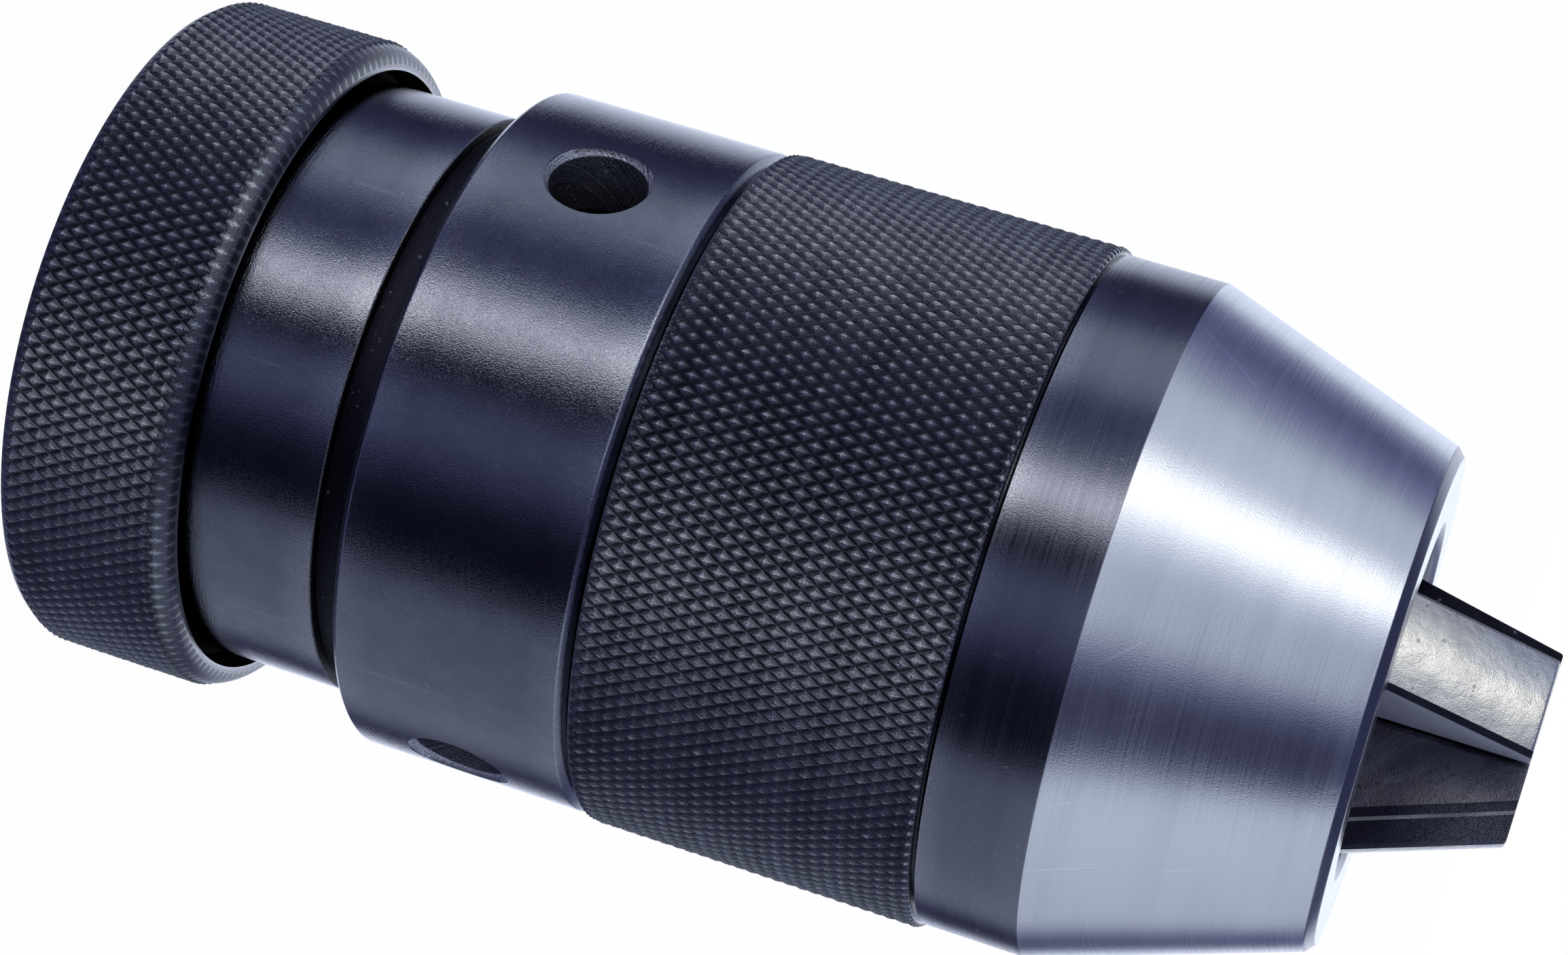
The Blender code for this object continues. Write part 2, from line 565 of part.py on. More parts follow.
def build_guide(outer_group, nose):
    """Guide insert with a central bore and one sloping slot for each jaw, keyed by dowels."""
    skin = CONE_WALL + TOUCH_GAP
    outline = [
        (GUIDE_BORE_RADIUS, GUIDE_START),
        (cone_radius(GUIDE_START) - skin, GUIDE_START),
        (cone_radius(GUIDE_END) - skin, GUIDE_END),
        (GUIDE_BORE_RADIUS, GUIDE_END),
    ]
    steel = metal("guide_steel", (0.30, 0.31, 0.33), 0.35)
    guide = turned_piece("jaw_guide", outline, 0, steel, parent=outer_group)
    half_slot = JAW_WIDTH / 2 + RUN_GAP
    back_gap = RUN_GAP / math.cos(math.radians(JAW_ANGLE))
    low, high = GUIDE_START - 2, GUIDE_END + 2
    for number, angle in enumerate(around(JAW_COUNT), start=1):
        side = [(0, low), (jaw_back(low) + back_gap, low), (jaw_back(high) + back_gap, high), (0, high)]
        slot = prism(side, 2 * half_slot, -half_slot)
        bmesh.ops.rotate(slot, verts=slot.verts, cent=(0, 0, 0),
                         matrix=Matrix.Rotation(math.pi / 2, 3, "X"))
        turn = JAW_CLOCKING + angle
        combine(guide, cutter(f"guide_slot_{number}", slot, (0, 0, 0), turn, outer_group))

    dowel_circle = cone_radius(GUIDE_START) - skin - DOWEL_INSET
    for number, angle in enumerate(around(3), start=1):
        turn = JAW_CLOCKING + angle + 60
        hole_radius = DOWEL_RADIUS + TOUCH_GAP
        hole = turned([(0, -1), (hole_radius, -1), (hole_radius, DOWEL_LENGTH + 2 * TOUCH_GAP),
                       (0, DOWEL_LENGTH + 2 * TOUCH_GAP)], PIN_STEPS)
        tool = cutter(f"dowel_hole_{number}", hole, place(dowel_circle, turn, GUIDE_START - TOUCH_GAP),
                      parent=outer_group)
        combine(guide, tool)
        combine(nose, tool)
        pin = turned([(0, 0), (DOWEL_RADIUS, 0), (DOWEL_RADIUS, DOWEL_LENGTH), (0, DOWEL_LENGTH)],
                     PIN_STEPS)
        make_object(f"guide_dowel_{number}", pin, steel, place(dowel_circle, turn, GUIDE_START),
                    parent=outer_group)


# ---- drive screw and jaws ------------------------------------------------------------------------
def build_screw(screw_group):
    """Left-hand screw; its head has a T-slot for each jaw and a counterbore for the body's tube."""
    counter = TUBE_RADIUS + RUN_GAP
    plate = HEAD_REAR + HEAD_COUNTERBORE
    outline = [
        (0, SHANK_REAR),
        (SCREW_RADIUS - EDGE_CHAMFER, SHANK_REAR),
        (SCREW_RADIUS, SHANK_REAR + EDGE_CHAMFER),
        (SCREW_RADIUS, plate),
        (counter, plate),
        (counter, HEAD_REAR),
        (HEAD_RADIUS - EDGE_CHAMFER, HEAD_REAR),
        (HEAD_RADIUS, HEAD_REAR + EDGE_CHAMFER),
        (HEAD_RADIUS, HEAD_FRONT - EDGE_CHAMFER),
        (HEAD_RADIUS - EDGE_CHAMFER, HEAD_FRONT),
        (0, HEAD_FRONT),
    ]
    steel = metal("screw_steel", (0.42, 0.43, 0.45), 0.3)
    screw = turned_piece("drive_screw", outline, 0, steel, parent=screw_group)
    reach = HEAD_RADIUS + 2
    inner = TEE_INNER - RUN_GAP
    half_tee = TEE_WIDTH / 2 + TOUCH_GAP
    half_stem = STEM_WIDTH / 2 + TOUCH_GAP
    floor, step, top = TEE_BOTTOM - TOUCH_GAP, TEE_TOP + TOUCH_GAP, HEAD_FRONT + 1
    tee = [(floor, -half_tee), (step, -half_tee), (step, -half_stem), (top, -half_stem),
           (top, half_stem), (step, half_stem), (step, half_tee), (floor, half_tee)]
    for number, angle in enumerate(around(JAW_COUNT), start=1):
        slot = prism([(-z, y) for z, y in tee], reach - inner, inner)
        bmesh.ops.rotate(slot, verts=slot.verts, cent=(0, 0, 0),
                         matrix=Matrix.Rotation(math.pi / 2, 3, "Y"))
        turn = JAW_CLOCKING + angle
        combine(screw, cutter(f"tee_slot_{number}", slot, (0, 0, 0), turn, screw_group))


def jaw_section(back):
    """Outline of a jaw across the axis: a 120 degree gripping wedge, relieved flanks, a round back."""
    apex = JAW_FACE_OFFSET / math.sin(math.radians(60))
    half = JAW_WIDTH / 2
    inner = JAW_INNER_WIDTH / 2
    shoulder = apex + inner / math.tan(math.radians(60))
    edge = half - JAW_CORNER
    corner = back - JAW_BACK_CROWN - JAW_CORNER
    crown = [(back - JAW_BACK_CROWN * share * share, edge * share) for share in
             (2 * step / JAW_BACK_STEPS - 1 for step in range(JAW_BACK_STEPS + 1))]
    return [(apex, 0), (shoulder, -inner), (corner, -half)] + crown + [(corner, half), (shoulder, inner)]


def build_jaw(number, angle, material):
    """One jaw along +X, turned to its place; its tail ends in the T that the screw carries."""
    knee = JAW_TIP - (JAW_TAIL_REACH - JAW_TIP_BACK) / JAW_SLOPE
    stations = [(JAW_BOTTOM, JAW_TAIL_REACH), (knee, JAW_TAIL_REACH),
                (JAW_TIP - JAW_TIP_CHAMFER, jaw_back(JAW_TIP - JAW_TIP_CHAMFER)),
                (JAW_TIP, JAW_TIP_BACK - JAW_TIP_CHAMFER)]
    bm = bmesh.new()
    rings = [[bm.verts.new((x, y, z)) for x, y in jaw_section(back)] for z, back in stations]
    for low, high in zip(rings, rings[1:]):
        for corner in range(len(low)):
            after = (corner + 1) % len(low)
            bm.faces.new((low[corner], low[after], high[after], high[corner]))
    bm.faces.new(rings[0])
    bm.faces.new(rings[-1])
    guide_line = axis_empty(f"jaw_{number}_guide", 0)
    guide_line.rotation_euler.z = math.radians(angle)
    jaw = make_object(f"jaw_{number}", bm, material, parent=guide_line)
    stem = box((TEE_INNER + RUN_GAP, -STEM_WIDTH / 2, TEE_TOP - 1),
               (JAW_TAIL_REACH - TOUCH_GAP, STEM_WIDTH / 2, JAW_BOTTOM + 1))
    tee = box((TEE_INNER, -TEE_WIDTH / 2, TEE_BOTTOM), (JAW_TAIL_REACH, TEE_WIDTH / 2, TEE_TOP))
    combine(jaw, cutter(f"jaw_stem_{number}", stem, parent=guide_line), "UNION")
    combine(jaw, cutter(f"jaw_tee_{number}", tee, parent=guide_line), "UNION")


def build_chuck():
    """All groups of the chuck, from the body outwards."""
    body = build_body()
    ring = build_rear_ring()
    build_ring_keys(body, ring)
    build_dust_seal()
    outer_group = axis_empty("outer_group", 0)
    build_races(outer_group)
    build_preload(outer_group)
    build_ball_train(axis_empty("ball_train", BALL_PLANE))
    build_hood(outer_group)
    build_sleeve(outer_group)
    nose = build_nose(outer_group)
    build_guide(outer_group, nose)
    build_screw(axis_empty("screw_group", 0))
    jaw_steel = metal("jaw_ground_steel", (0.70, 0.68, 0.62), 0.3)
    for number, angle in enumerate(around(JAW_COUNT), start=1):
        build_jaw(number, JAW_CLOCKING + angle, jaw_steel)


for leftover in list(bpy.data.objects):
    bpy.data.objects.remove(leftover, do_unlink=True)
build_chuck()
print(f"grip radius {GRIP_RADIUS:.2f} mm, nose face {NOSE_FACE:.2f} mm, closed length {JAW_TIP:.2f} mm")
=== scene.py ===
# %% [markdown]
# # Dressing a keyless drill chuck
# The CAD frame already holds every piece of the chuck as a plain faceted solid, each on the body that
# moves it. This script keeps those places and sizes and gives each visible piece a fine surface: turned
# steel, a real diamond knurl, ground jaws. Lengths are written in millimetres and stored in metres.

# %% Load the frame
import math

import bmesh
import bpy
import numpy as np
from mathutils import Matrix, Vector


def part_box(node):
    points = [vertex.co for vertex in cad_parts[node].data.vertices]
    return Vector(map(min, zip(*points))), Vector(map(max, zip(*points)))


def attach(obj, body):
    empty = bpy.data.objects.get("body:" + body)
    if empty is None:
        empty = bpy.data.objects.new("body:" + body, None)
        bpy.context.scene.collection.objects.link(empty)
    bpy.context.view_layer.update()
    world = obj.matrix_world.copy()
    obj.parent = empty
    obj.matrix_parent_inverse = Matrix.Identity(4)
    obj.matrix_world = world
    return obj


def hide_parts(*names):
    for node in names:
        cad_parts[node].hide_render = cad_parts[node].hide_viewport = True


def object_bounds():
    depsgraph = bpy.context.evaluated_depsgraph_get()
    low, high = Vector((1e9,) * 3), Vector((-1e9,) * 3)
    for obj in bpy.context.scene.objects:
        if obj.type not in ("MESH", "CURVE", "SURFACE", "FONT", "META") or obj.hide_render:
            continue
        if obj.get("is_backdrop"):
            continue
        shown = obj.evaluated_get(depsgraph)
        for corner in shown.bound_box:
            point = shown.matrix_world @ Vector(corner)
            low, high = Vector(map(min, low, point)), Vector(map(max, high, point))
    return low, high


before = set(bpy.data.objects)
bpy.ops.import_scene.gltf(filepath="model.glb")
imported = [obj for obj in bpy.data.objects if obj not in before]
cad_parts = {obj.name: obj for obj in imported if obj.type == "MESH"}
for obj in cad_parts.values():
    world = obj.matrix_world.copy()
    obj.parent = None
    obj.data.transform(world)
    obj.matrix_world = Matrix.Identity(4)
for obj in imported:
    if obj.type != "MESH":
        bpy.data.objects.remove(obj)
cad_low, cad_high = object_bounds()
MM = 0.001

# %% [markdown]
# ## Where sizes come from
# A turned piece is one outline spun round the axis. The outline needn't be typed in again: a half-plane
# through the axis cuts each CAD solid along edges that are the outline itself. Reading those edges and
# walking from corner to corner gives the (radius, height) points in order, so the fine piece follows the
# frame exactly, whatever its size. The half-plane is set at an angle where no hole or slot crosses it.

# %% Read outlines from CAD nodes
QUIET_COLUMN = 90.0


def cad_outline(node, column=QUIET_COLUMN):
    """Corners (radius, z) of a node in one half-plane, walked in order, in millimetres."""
    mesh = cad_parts[node].data
    points = np.array([v.co for v in mesh.vertices]) / MM
    edges = np.array([e.vertices[:] for e in mesh.edges])
    radius = np.hypot(points[:, 0], points[:, 1])
    angle = np.degrees(np.arctan2(points[:, 1], points[:, 0]))
    inside = np.abs((angle - column + 180) % 360 - 180) < 0.05
    flat = np.round(np.stack([radius, points[:, 2]], 1), 3)
    kept = edges[inside[edges].all(1)]
    corners, index = np.unique(flat[kept.ravel()], axis=0, return_inverse=True)
    pairs = index.reshape(-1, 2)
    pairs = np.unique(np.sort(pairs[pairs[:, 0] != pairs[:, 1]], axis=1), axis=0)
    walk = [pairs[0, 0], pairs[0, 1]]
    while walk[-1] != walk[0]:
        touching = pairs[(pairs == walk[-1]).any(1)]
        nexts = touching[touching != walk[-1]]
        walk.append(nexts[0] if nexts[0] != walk[-2] else nexts[-1])
    return corners[walk[:-1]]


def span(node):
    """Lowest and highest z of a node in millimetres."""
    low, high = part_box(node)
    return low.z / MM, high.z / MM


print("hood outline:", len(cad_outline("hood")), "corners")

# %% [markdown]
# ## Soft corners
# No machined edge is perfectly sharp: a light catches even a tenth of a millimetre of rounding. Each
# corner is cut back along both of its sides and replaced by a small curve. A quadratic Bezier with the
# corner as its middle handle is close enough to an arc at this size, and it works for any angle.

# %% Round the corners of an outline
def softened(outline, size=0.2, points=4):
    """Every corner P becomes (1-t)^2 A + 2t(1-t) P + t^2 B, with A and B set back along its sides."""
    here = np.asarray(outline, float)
    before, after = np.roll(here, 1, 0), np.roll(here, -1, 0)

    def step_towards(other):
        side = other - here
        length = np.linalg.norm(side, axis=1, keepdims=True)
        return here + side / length * np.minimum(size, 0.4 * length)

    t = np.linspace(0, 1, points)[None, :, None]
    start, end = step_towards(before)[:, None], step_towards(after)[:, None]
    curve = (1 - t) ** 2 * start + 2 * t * (1 - t) * here[:, None] + t**2 * end
    return curve.reshape(-1, 2)


def split_long(outline, longest=3.0):
    """Adds points to sides longer than a limit, so that shading and wear have somewhere to live."""
    following = np.roll(outline, -1, 0)
    lengths = np.linalg.norm(following - outline, axis=1)
    pieces = np.maximum(1, np.ceil(lengths / longest).astype(int))
    owner = np.repeat(np.arange(len(outline)), pieces)
    first = np.concatenate([[0], np.cumsum(pieces)[:-1]])
    share = (np.arange(pieces.sum()) - first[owner]) / pieces[owner]
    return outline[owner] + share[:, None] * (following - outline)[owner]

# %% [markdown]
# ## From arrays to meshes
# One helper turns a vertex array and a face array into a mesh object. It also measures the signed
# volume: the sum of a . (b x c) / 6 over all triangles. If that is negative the faces point inwards, so
# their order is turned round, and every piece ends up facing outwards without a normals operator.

# %% Make one mesh object
def signed_volume(points, triangles):
    """Sum over triangles of a . (b x c) / 6."""
    a, b, c = points[triangles[:, 0]], points[triangles[:, 1]], points[triangles[:, 2]]
    return float(np.einsum("ij,ij->", a, np.cross(b, c)) / 6)


def mesh_piece(name, points, faces, values=None, slots=None, sharp=28):
    """Object from points in millimetres and triangle or quad faces, closed and facing outwards."""
    points = np.asarray(points, float) * MM
    triangles = faces[:, :3] if faces.shape[1] == 3 else np.concatenate(
        [faces[:, [0, 1, 2]], faces[:, [0, 2, 3]]])
    if signed_volume(points, triangles) < 0:
        faces = faces[:, ::-1]
    mesh = bpy.data.meshes.new(name)
    mesh.from_pydata(points, [], faces)
    for label, column in (values or {}).items():
        mesh.attributes.new(label, "FLOAT", "POINT").data.foreach_set(
            "value", np.ascontiguousarray(column, np.float32))
    if slots is not None:
        mesh.polygons.foreach_set("material_index", np.ascontiguousarray(slots, np.int32))
    mesh.shade_smooth()
    mesh.set_sharp_from_angle(angle=math.radians(sharp))
    piece = bpy.data.objects.new(name, mesh)
    bpy.context.scene.collection.objects.link(piece)
    return piece


def ring_faces(rows, columns):
    """Quads of a grid that closes on itself both along its rows and round its columns."""
    i, j = np.meshgrid(np.arange(rows), np.arange(columns), indexing="ij")
    following_row, following_column = (i + 1) % rows, (j + 1) % columns
    quads = np.stack([i * columns + j, i * columns + following_column,
                      following_row * columns + following_column, following_row * columns + j], -1)
    return quads.reshape(-1, 4)


def spun(radius, angle, height):
    """x = r cos a, y = r sin a, z = height, one point a row."""
    radius, angle, height = np.broadcast_arrays(radius, angle, height)
    return np.stack([radius * np.cos(angle), radius * np.sin(angle), height], -1).reshape(-1, 3)


def edge_wear(outline):
    """1 on a convex corner of an outline and 0 on its straights, from the turn at each point."""
    before, after = np.roll(outline, 1, 0), np.roll(outline, -1, 0)
    first, second = outline - before, after - outline
    turn = first[:, 0] * second[:, 1] - first[:, 1] * second[:, 0]
    scale = np.linalg.norm(first, axis=1) * np.linalg.norm(second, axis=1) + 1e-9
    area = float(np.sum(outline[:, 0] * after[:, 1] - after[:, 0] * outline[:, 1]))
    return np.clip(np.sign(area) * turn / scale * 2.5, 0, 1)


def turned(name, outline, columns=192, slot_of=None, sharp=28):
    """Outline (radius, z) spun round the axis."""
    angle = np.arange(columns) * 2 * np.pi / columns
    points = spun(outline[:, :1], angle, outline[:, 1:])
    middles = (outline + np.roll(outline, -1, 0)) / 2
    slots = None if slot_of is None else np.repeat(slot_of(middles[:, 0], middles[:, 1]), columns)
    wear = np.repeat(edge_wear(outline), columns)
    return mesh_piece(name, points, ring_faces(len(outline), columns), {"wear": wear}, slots, sharp)

# %% [markdown]
# ## Shared effects as node groups
# Real steel parts share a few small-scale effects: tool lines that run round the axis, a fine grain,
# scratches and specks of dirt. Each is a node group that puts out only masks and heights, so that every
# material can weigh them its own way. Uniform values, such as metallic, stay on the shader itself.

# %% Node helpers
def new_group(name, inputs, outputs):
    """Empty node group with named float or vector inputs and float outputs."""
    group = bpy.data.node_groups.new(name, "ShaderNodeTree")
    for label, kind, default in inputs:
        socket = group.interface.new_socket(name=label, in_out="INPUT", socket_type=kind)
        if default is not None:
            socket.default_value = default
    for label in outputs:
        group.interface.new_socket(name=label, in_out="OUTPUT", socket_type="NodeSocketFloat")
    return group, group.nodes.new("NodeGroupInput"), group.nodes.new("NodeGroupOutput")


def node(tree, kind, **settings):
    """New node; a setting names a property, or an input when its key is in_ and a number."""
    made = tree.nodes.new(kind)
    for key, value in settings.items():
        if key.startswith("in_"):
            made.inputs[int(key[3:])].default_value = value
        else:
            setattr(made, key, value)
    return made


def join(tree, source, target):
    """Feeds an input from an output socket, or stores a plain number or a colour of three in it."""
    if isinstance(source, bpy.types.NodeSocket):
        tree.links.new(source, target)
    else:
        target.default_value = (*source, 1) if isinstance(source, tuple) else source


def maths(tree, operation, first, second=None, third=None, clamp=False):
    """Math node fed by sockets or plain numbers."""
    made = node(tree, "ShaderNodeMath", operation=operation, use_clamp=clamp)
    for slot_number, value in enumerate((first, second, third)):
        if value is not None:
            join(tree, value, made.inputs[slot_number])
    return made.outputs[0]


def mixed(tree, amount, first, second, colour=True):
    """first (1 - amount) + second amount, for colours or for plain numbers."""
    made = node(tree, "ShaderNodeMix", data_type="RGBA" if colour else "FLOAT")
    join(tree, amount, made.inputs[0])
    join(tree, first, made.inputs[6 if colour else 2])
    join(tree, second, made.inputs[7 if colour else 3])
    return made.outputs[2 if colour else 0]


def ramp(tree, value, low, high):
    """0 below low, 1 above high, smooth between."""
    made = node(tree, "ShaderNodeMapRange", interpolation_type="SMOOTHSTEP", in_1=low, in_2=high)
    join(tree, value, made.inputs[0])
    return made.outputs[0]

# %% Tool lines round the axis
def tool_lines_group():
    """Lines at constant height or radius: noise over (x, y) stretched long, height + radius short."""
    group, inside, outside = new_group(
        "tool_lines", [("Coordinates", "NodeSocketVector", None), ("Per Metre", "NodeSocketFloat", 6000.0),
                       ("Wander", "NodeSocketFloat", 40.0)], ["Lines", "Bands"])
    parts = node(group, "ShaderNodeSeparateXYZ")
    join(group, inside.outputs["Coordinates"], parts.inputs[0])
    squares = maths(group, "ADD", maths(group, "MULTIPLY", parts.outputs[0], parts.outputs[0]),
                    maths(group, "MULTIPLY", parts.outputs[1], parts.outputs[1]))
    along = maths(group, "ADD", parts.outputs[2], maths(group, "SQRT", squares))
    for label, share, detail in (("Lines", 1.0, 3.0), ("Bands", 0.08, 2.0)):
        place = node(group, "ShaderNodeCombineXYZ")
        for axis in (0, 1):
            join(group, maths(group, "MULTIPLY", parts.outputs[axis], inside.outputs["Wander"]),
                 place.inputs[axis])
        fine = maths(group, "MULTIPLY", inside.outputs["Per Metre"], share)
        join(group, maths(group, "MULTIPLY", along, fine), place.inputs[2])
        noise = node(group, "ShaderNodeTexNoise", noise_dimensions="3D", in_2=1.0, in_3=detail, in_4=0.6)
        join(group, place.outputs[0], noise.inputs[0])
        join(group, noise.outputs[0], outside.inputs[label])
    return group

# %% Grain, specks and scratches
def grain_group():
    """Even fine grain, sparse specks where a noise is very high, millimetre waves and wide soft smudges."""
    group, inside, outside = new_group(
        "grain", [("Coordinates", "NodeSocketVector", None), ("Grain Per Metre", "NodeSocketFloat", 9000.0),
                  ("Speck Per Metre", "NodeSocketFloat", 1400.0)], ["Grain", "Specks", "Smudges", "Waves"])
    for label, scale, detail in (("Grain", "Grain Per Metre", 2.0), ("Waves", 520.0, 2.0),
                                 ("Specks", "Speck Per Metre", 1.0), ("Smudges", 60.0, 4.0)):
        noise = node(group, "ShaderNodeTexNoise", noise_dimensions="3D", in_3=detail, in_4=0.55)
        join(group, inside.outputs["Coordinates"], noise.inputs[0])
        join(group, inside.outputs[scale] if isinstance(scale, str) else scale, noise.inputs[2])
        value = noise.outputs[0]
        if label == "Specks":
            value = ramp(group, value, 0.70, 0.76)
        join(group, value, outside.inputs[label])
    return group


def scratches_group():
    """Hair-thin scratches: two noises stretched along slanted directions, kept only near a level."""
    group, inside, outside = new_group(
        "scratches", [("Coordinates", "NodeSocketVector", None), ("Amount", "NodeSocketFloat", 0.5)],
        ["Scratches"])
    total = None
    for number, turn in enumerate(((0.3, 0.2, 0.5), (-0.5, 0.1, 2.1))):
        mapping = node(group, "ShaderNodeMapping")
        mapping.inputs["Rotation"].default_value = turn
        mapping.inputs["Scale"].default_value = (60, 1900, 60)
        mapping.inputs["Location"].default_value = (number * 3.7, 0, 0)
        join(group, inside.outputs["Coordinates"], mapping.inputs[0])
        noise = node(group, "ShaderNodeTexNoise", noise_dimensions="3D", in_2=1.0, in_3=1.0)
        join(group, mapping.outputs[0], noise.inputs[0])
        line = ramp(group, noise.outputs[0], 0.735, 0.76)
        total = line if total is None else maths(group, "MAXIMUM", total, line)
    join(group, maths(group, "MULTIPLY", total, inside.outputs["Amount"]), outside.inputs["Scratches"])
    return group


TOOL_LINES, GRAIN, SCRATCHES = tool_lines_group(), grain_group(), scratches_group()
print("node groups:", [group.name for group in (TOOL_LINES, GRAIN, SCRATCHES)])

# %% [markdown]
# ## One recipe for worked steel
# Every metal here is the same physical thing in another state: a base colour, a roughness, and tool
# marks. So one function builds them all. Lines and grain push the roughness up and down, which is what
# makes a highlight on turned steel look brushed, and they feed a Bump so that the light also breaks.
# Worn edges, which each mesh stores in its wear attribute, go towards bare bright steel.

# %% Steel recipe
FINISH = {}


def steel(name, colour, dark, roughness, line_bump=0.02, line_rough=0.12, lines=6000.0, wander=40.0,
          grain_bump=0.01, wear_colour=(0.5, 0.52, 0.56), wear=0.6, specks=0.0,
          speck_colour=(0.4, 0.4, 0.4), scratches=0.0, smudge=0.3, metallic=1.0, dimples=0.0):
    """Principled steel whose colour, roughness and bump follow the shared masks, kept in FINISH."""
    material = bpy.data.materials.new(name)
    material.use_nodes = True
    tree = material.node_tree
    shader = tree.nodes["Principled BSDF"]
    shader.inputs["Metallic"].default_value = metallic
    where = node(tree, "ShaderNodeTexCoord").outputs["Object"]
    marks = node(tree, "ShaderNodeGroup", node_tree=TOOL_LINES)
    marks.inputs["Per Metre"].default_value = lines
    marks.inputs["Wander"].default_value = wander
    grain = node(tree, "ShaderNodeGroup", node_tree=GRAIN)
    hairs = node(tree, "ShaderNodeGroup", node_tree=SCRATCHES)
    hairs.inputs["Amount"].default_value = scratches
    for user in (marks, grain, hairs):
        join(tree, where, user.inputs["Coordinates"])
    worn = node(tree, "ShaderNodeAttribute", attribute_name="wear").outputs["Fac"]

    blend = maths(tree, "ADD", maths(tree, "MULTIPLY", marks.outputs["Bands"], 0.6),
                  maths(tree, "MULTIPLY", grain.outputs["Smudges"], 0.4))
    tone = mixed(tree, ramp(tree, blend, 0.35, 0.65), dark, colour)
    edge = maths(tree, "MULTIPLY", maths(tree, "MULTIPLY", worn, wear),
                 ramp(tree, grain.outputs["Grain"], 0.3, 0.6))
    bright = maths(tree, "MAXIMUM", edge, hairs.outputs["Scratches"], clamp=True)
    bare = mixed(tree, bright, tone, wear_colour)
    dusty = mixed(tree, maths(tree, "MULTIPLY", grain.outputs["Specks"], specks), bare, speck_colour)
    join(tree, dusty, shader.inputs["Base Color"])

    uneven = maths(tree, "MULTIPLY_ADD", maths(tree, "SUBTRACT", marks.outputs["Lines"], 0.5),
                   2 * line_rough, roughness)
    uneven = maths(tree, "MULTIPLY_ADD", maths(tree, "SUBTRACT", grain.outputs["Smudges"], 0.5),
                   smudge * 0.3, uneven)
    uneven = maths(tree, "MULTIPLY_ADD", grain.outputs["Specks"], 0.3 * specks, uneven, clamp=True)
    join(tree, uneven, shader.inputs["Roughness"])

    height = maths(tree, "ADD", maths(tree, "MULTIPLY", marks.outputs["Lines"], line_bump),
                   maths(tree, "MULTIPLY", grain.outputs["Grain"], grain_bump))
    if dimples:
        height = maths(tree, "MULTIPLY_ADD", grain.outputs["Waves"], dimples, height)
    bump = node(tree, "ShaderNodeBump")
    bump.inputs["Strength"].default_value = 1.0
    bump.inputs["Distance"].default_value = MM
    join(tree, height, bump.inputs["Height"])
    join(tree, bump.outputs[0], shader.inputs["Normal"])
    FINISH[name] = material

# %% Finishes
BLUE_BLACK, BLUE_DEEP = (0.168, 0.176, 0.206), (0.145, 0.152, 0.182)
steel("collar_oxide", BLUE_BLACK, BLUE_DEEP, 0.07, line_bump=0.022, line_rough=0.07, wander=500.0,
      specks=0.12, scratches=0.08, grain_bump=0.018, smudge=0.04)
steel("knurl_oxide", (0.105, 0.11, 0.13), (0.07, 0.073, 0.09), 0.25, line_bump=0.0, line_rough=0.0,
      grain_bump=0.05, wear=1.0, wear_colour=(0.62, 0.65, 0.68))
steel("band_oxide", BLUE_BLACK, BLUE_DEEP, 0.20, line_bump=0.02, line_rough=0.14, specks=0.2)
steel("ground_cone", (0.665, 0.685, 0.705), (0.61, 0.63, 0.655), 0.21, line_bump=0.014, line_rough=0.10,
      lines=9000.0, scratches=0.35, wear_colour=(0.85, 0.87, 0.9))
steel("ground_jaw", (0.70, 0.68, 0.60), (0.58, 0.565, 0.51), 0.17, line_bump=0.003, grain_bump=0.03,
      dimples=0.10, specks=0.5, speck_colour=(0.2, 0.19, 0.18), wander=400.0)
steel("jaw_corner", (0.035, 0.035, 0.055), (0.02, 0.02, 0.035), 0.36, grain_bump=0.10, wear=0.2,
      dimples=0.05, specks=0.4, speck_colour=(0.22, 0.22, 0.25))
# A painted highlight: the bright glint line along one flank of each jaw.
steel("jaw_painted_glint", (0.80, 0.79, 0.80), (0.40, 0.40, 0.42), 0.40, grain_bump=0.50, specks=0.9,
      speck_colour=(0.95, 0.95, 0.95), dimples=0.3, metallic=0.2)
steel("jaw_flank", (0.22, 0.21, 0.24), (0.12, 0.115, 0.14), 0.36, grain_bump=0.10, specks=0.4,
      speck_colour=(0.03, 0.03, 0.04), wander=300.0, dimples=0.10, wear_colour=(0.55, 0.53, 0.50),
      wear=0.8)
# Pale painted light, for one jaw's far flank.
steel("jaw_side_painted_light", (0.62, 0.63, 0.70), (0.52, 0.53, 0.60), 0.45, grain_bump=0.08, wander=300.0,
      metallic=0.1)
# Near-black painted shade, for the hood's groove and for one jaw's far flank.
steel("painted_shade_black", (0.022, 0.022, 0.032), (0.012, 0.012, 0.018), 0.42, line_bump=0.02,
      grain_bump=0.06, specks=0.5, speck_colour=(0.25, 0.25, 0.28))
steel("bore_oxide", (0.24, 0.24, 0.27), (0.12, 0.12, 0.145), 0.34, line_bump=0.12, line_rough=0.2,
      lines=3500.0, specks=0.5, speck_colour=(0.6, 0.62, 0.65), wear=1.0,
      wear_colour=(0.75, 0.77, 0.82), grain_bump=0.1)
steel("body_steel", (0.34, 0.35, 0.38), (0.26, 0.27, 0.30), 0.30, specks=0.1)
steel("race_steel", (0.66, 0.67, 0.70), (0.60, 0.61, 0.64), 0.14, line_bump=0.004, line_rough=0.05)
steel("ball_steel", (0.72, 0.73, 0.76), (0.70, 0.71, 0.74), 0.07, line_bump=0.0, line_rough=0.01,
      grain_bump=0.001)
steel("cage_brass", (0.80, 0.56, 0.24), (0.66, 0.45, 0.19), 0.30, wear_colour=(0.9, 0.7, 0.4))
steel("washer_bronze", (0.66, 0.40, 0.22), (0.52, 0.31, 0.17), 0.34, wear_colour=(0.8, 0.55, 0.35))
steel("spring_steel", (0.20, 0.23, 0.34), (0.14, 0.15, 0.22), 0.25)
steel("screw_steel", (0.46, 0.47, 0.50), (0.38, 0.39, 0.42), 0.28, line_rough=0.14)
steel("guide_steel", (0.40, 0.41, 0.44), (0.30, 0.31, 0.34), 0.30)
steel("key_steel", (0.12, 0.12, 0.14), (0.08, 0.08, 0.10), 0.36)
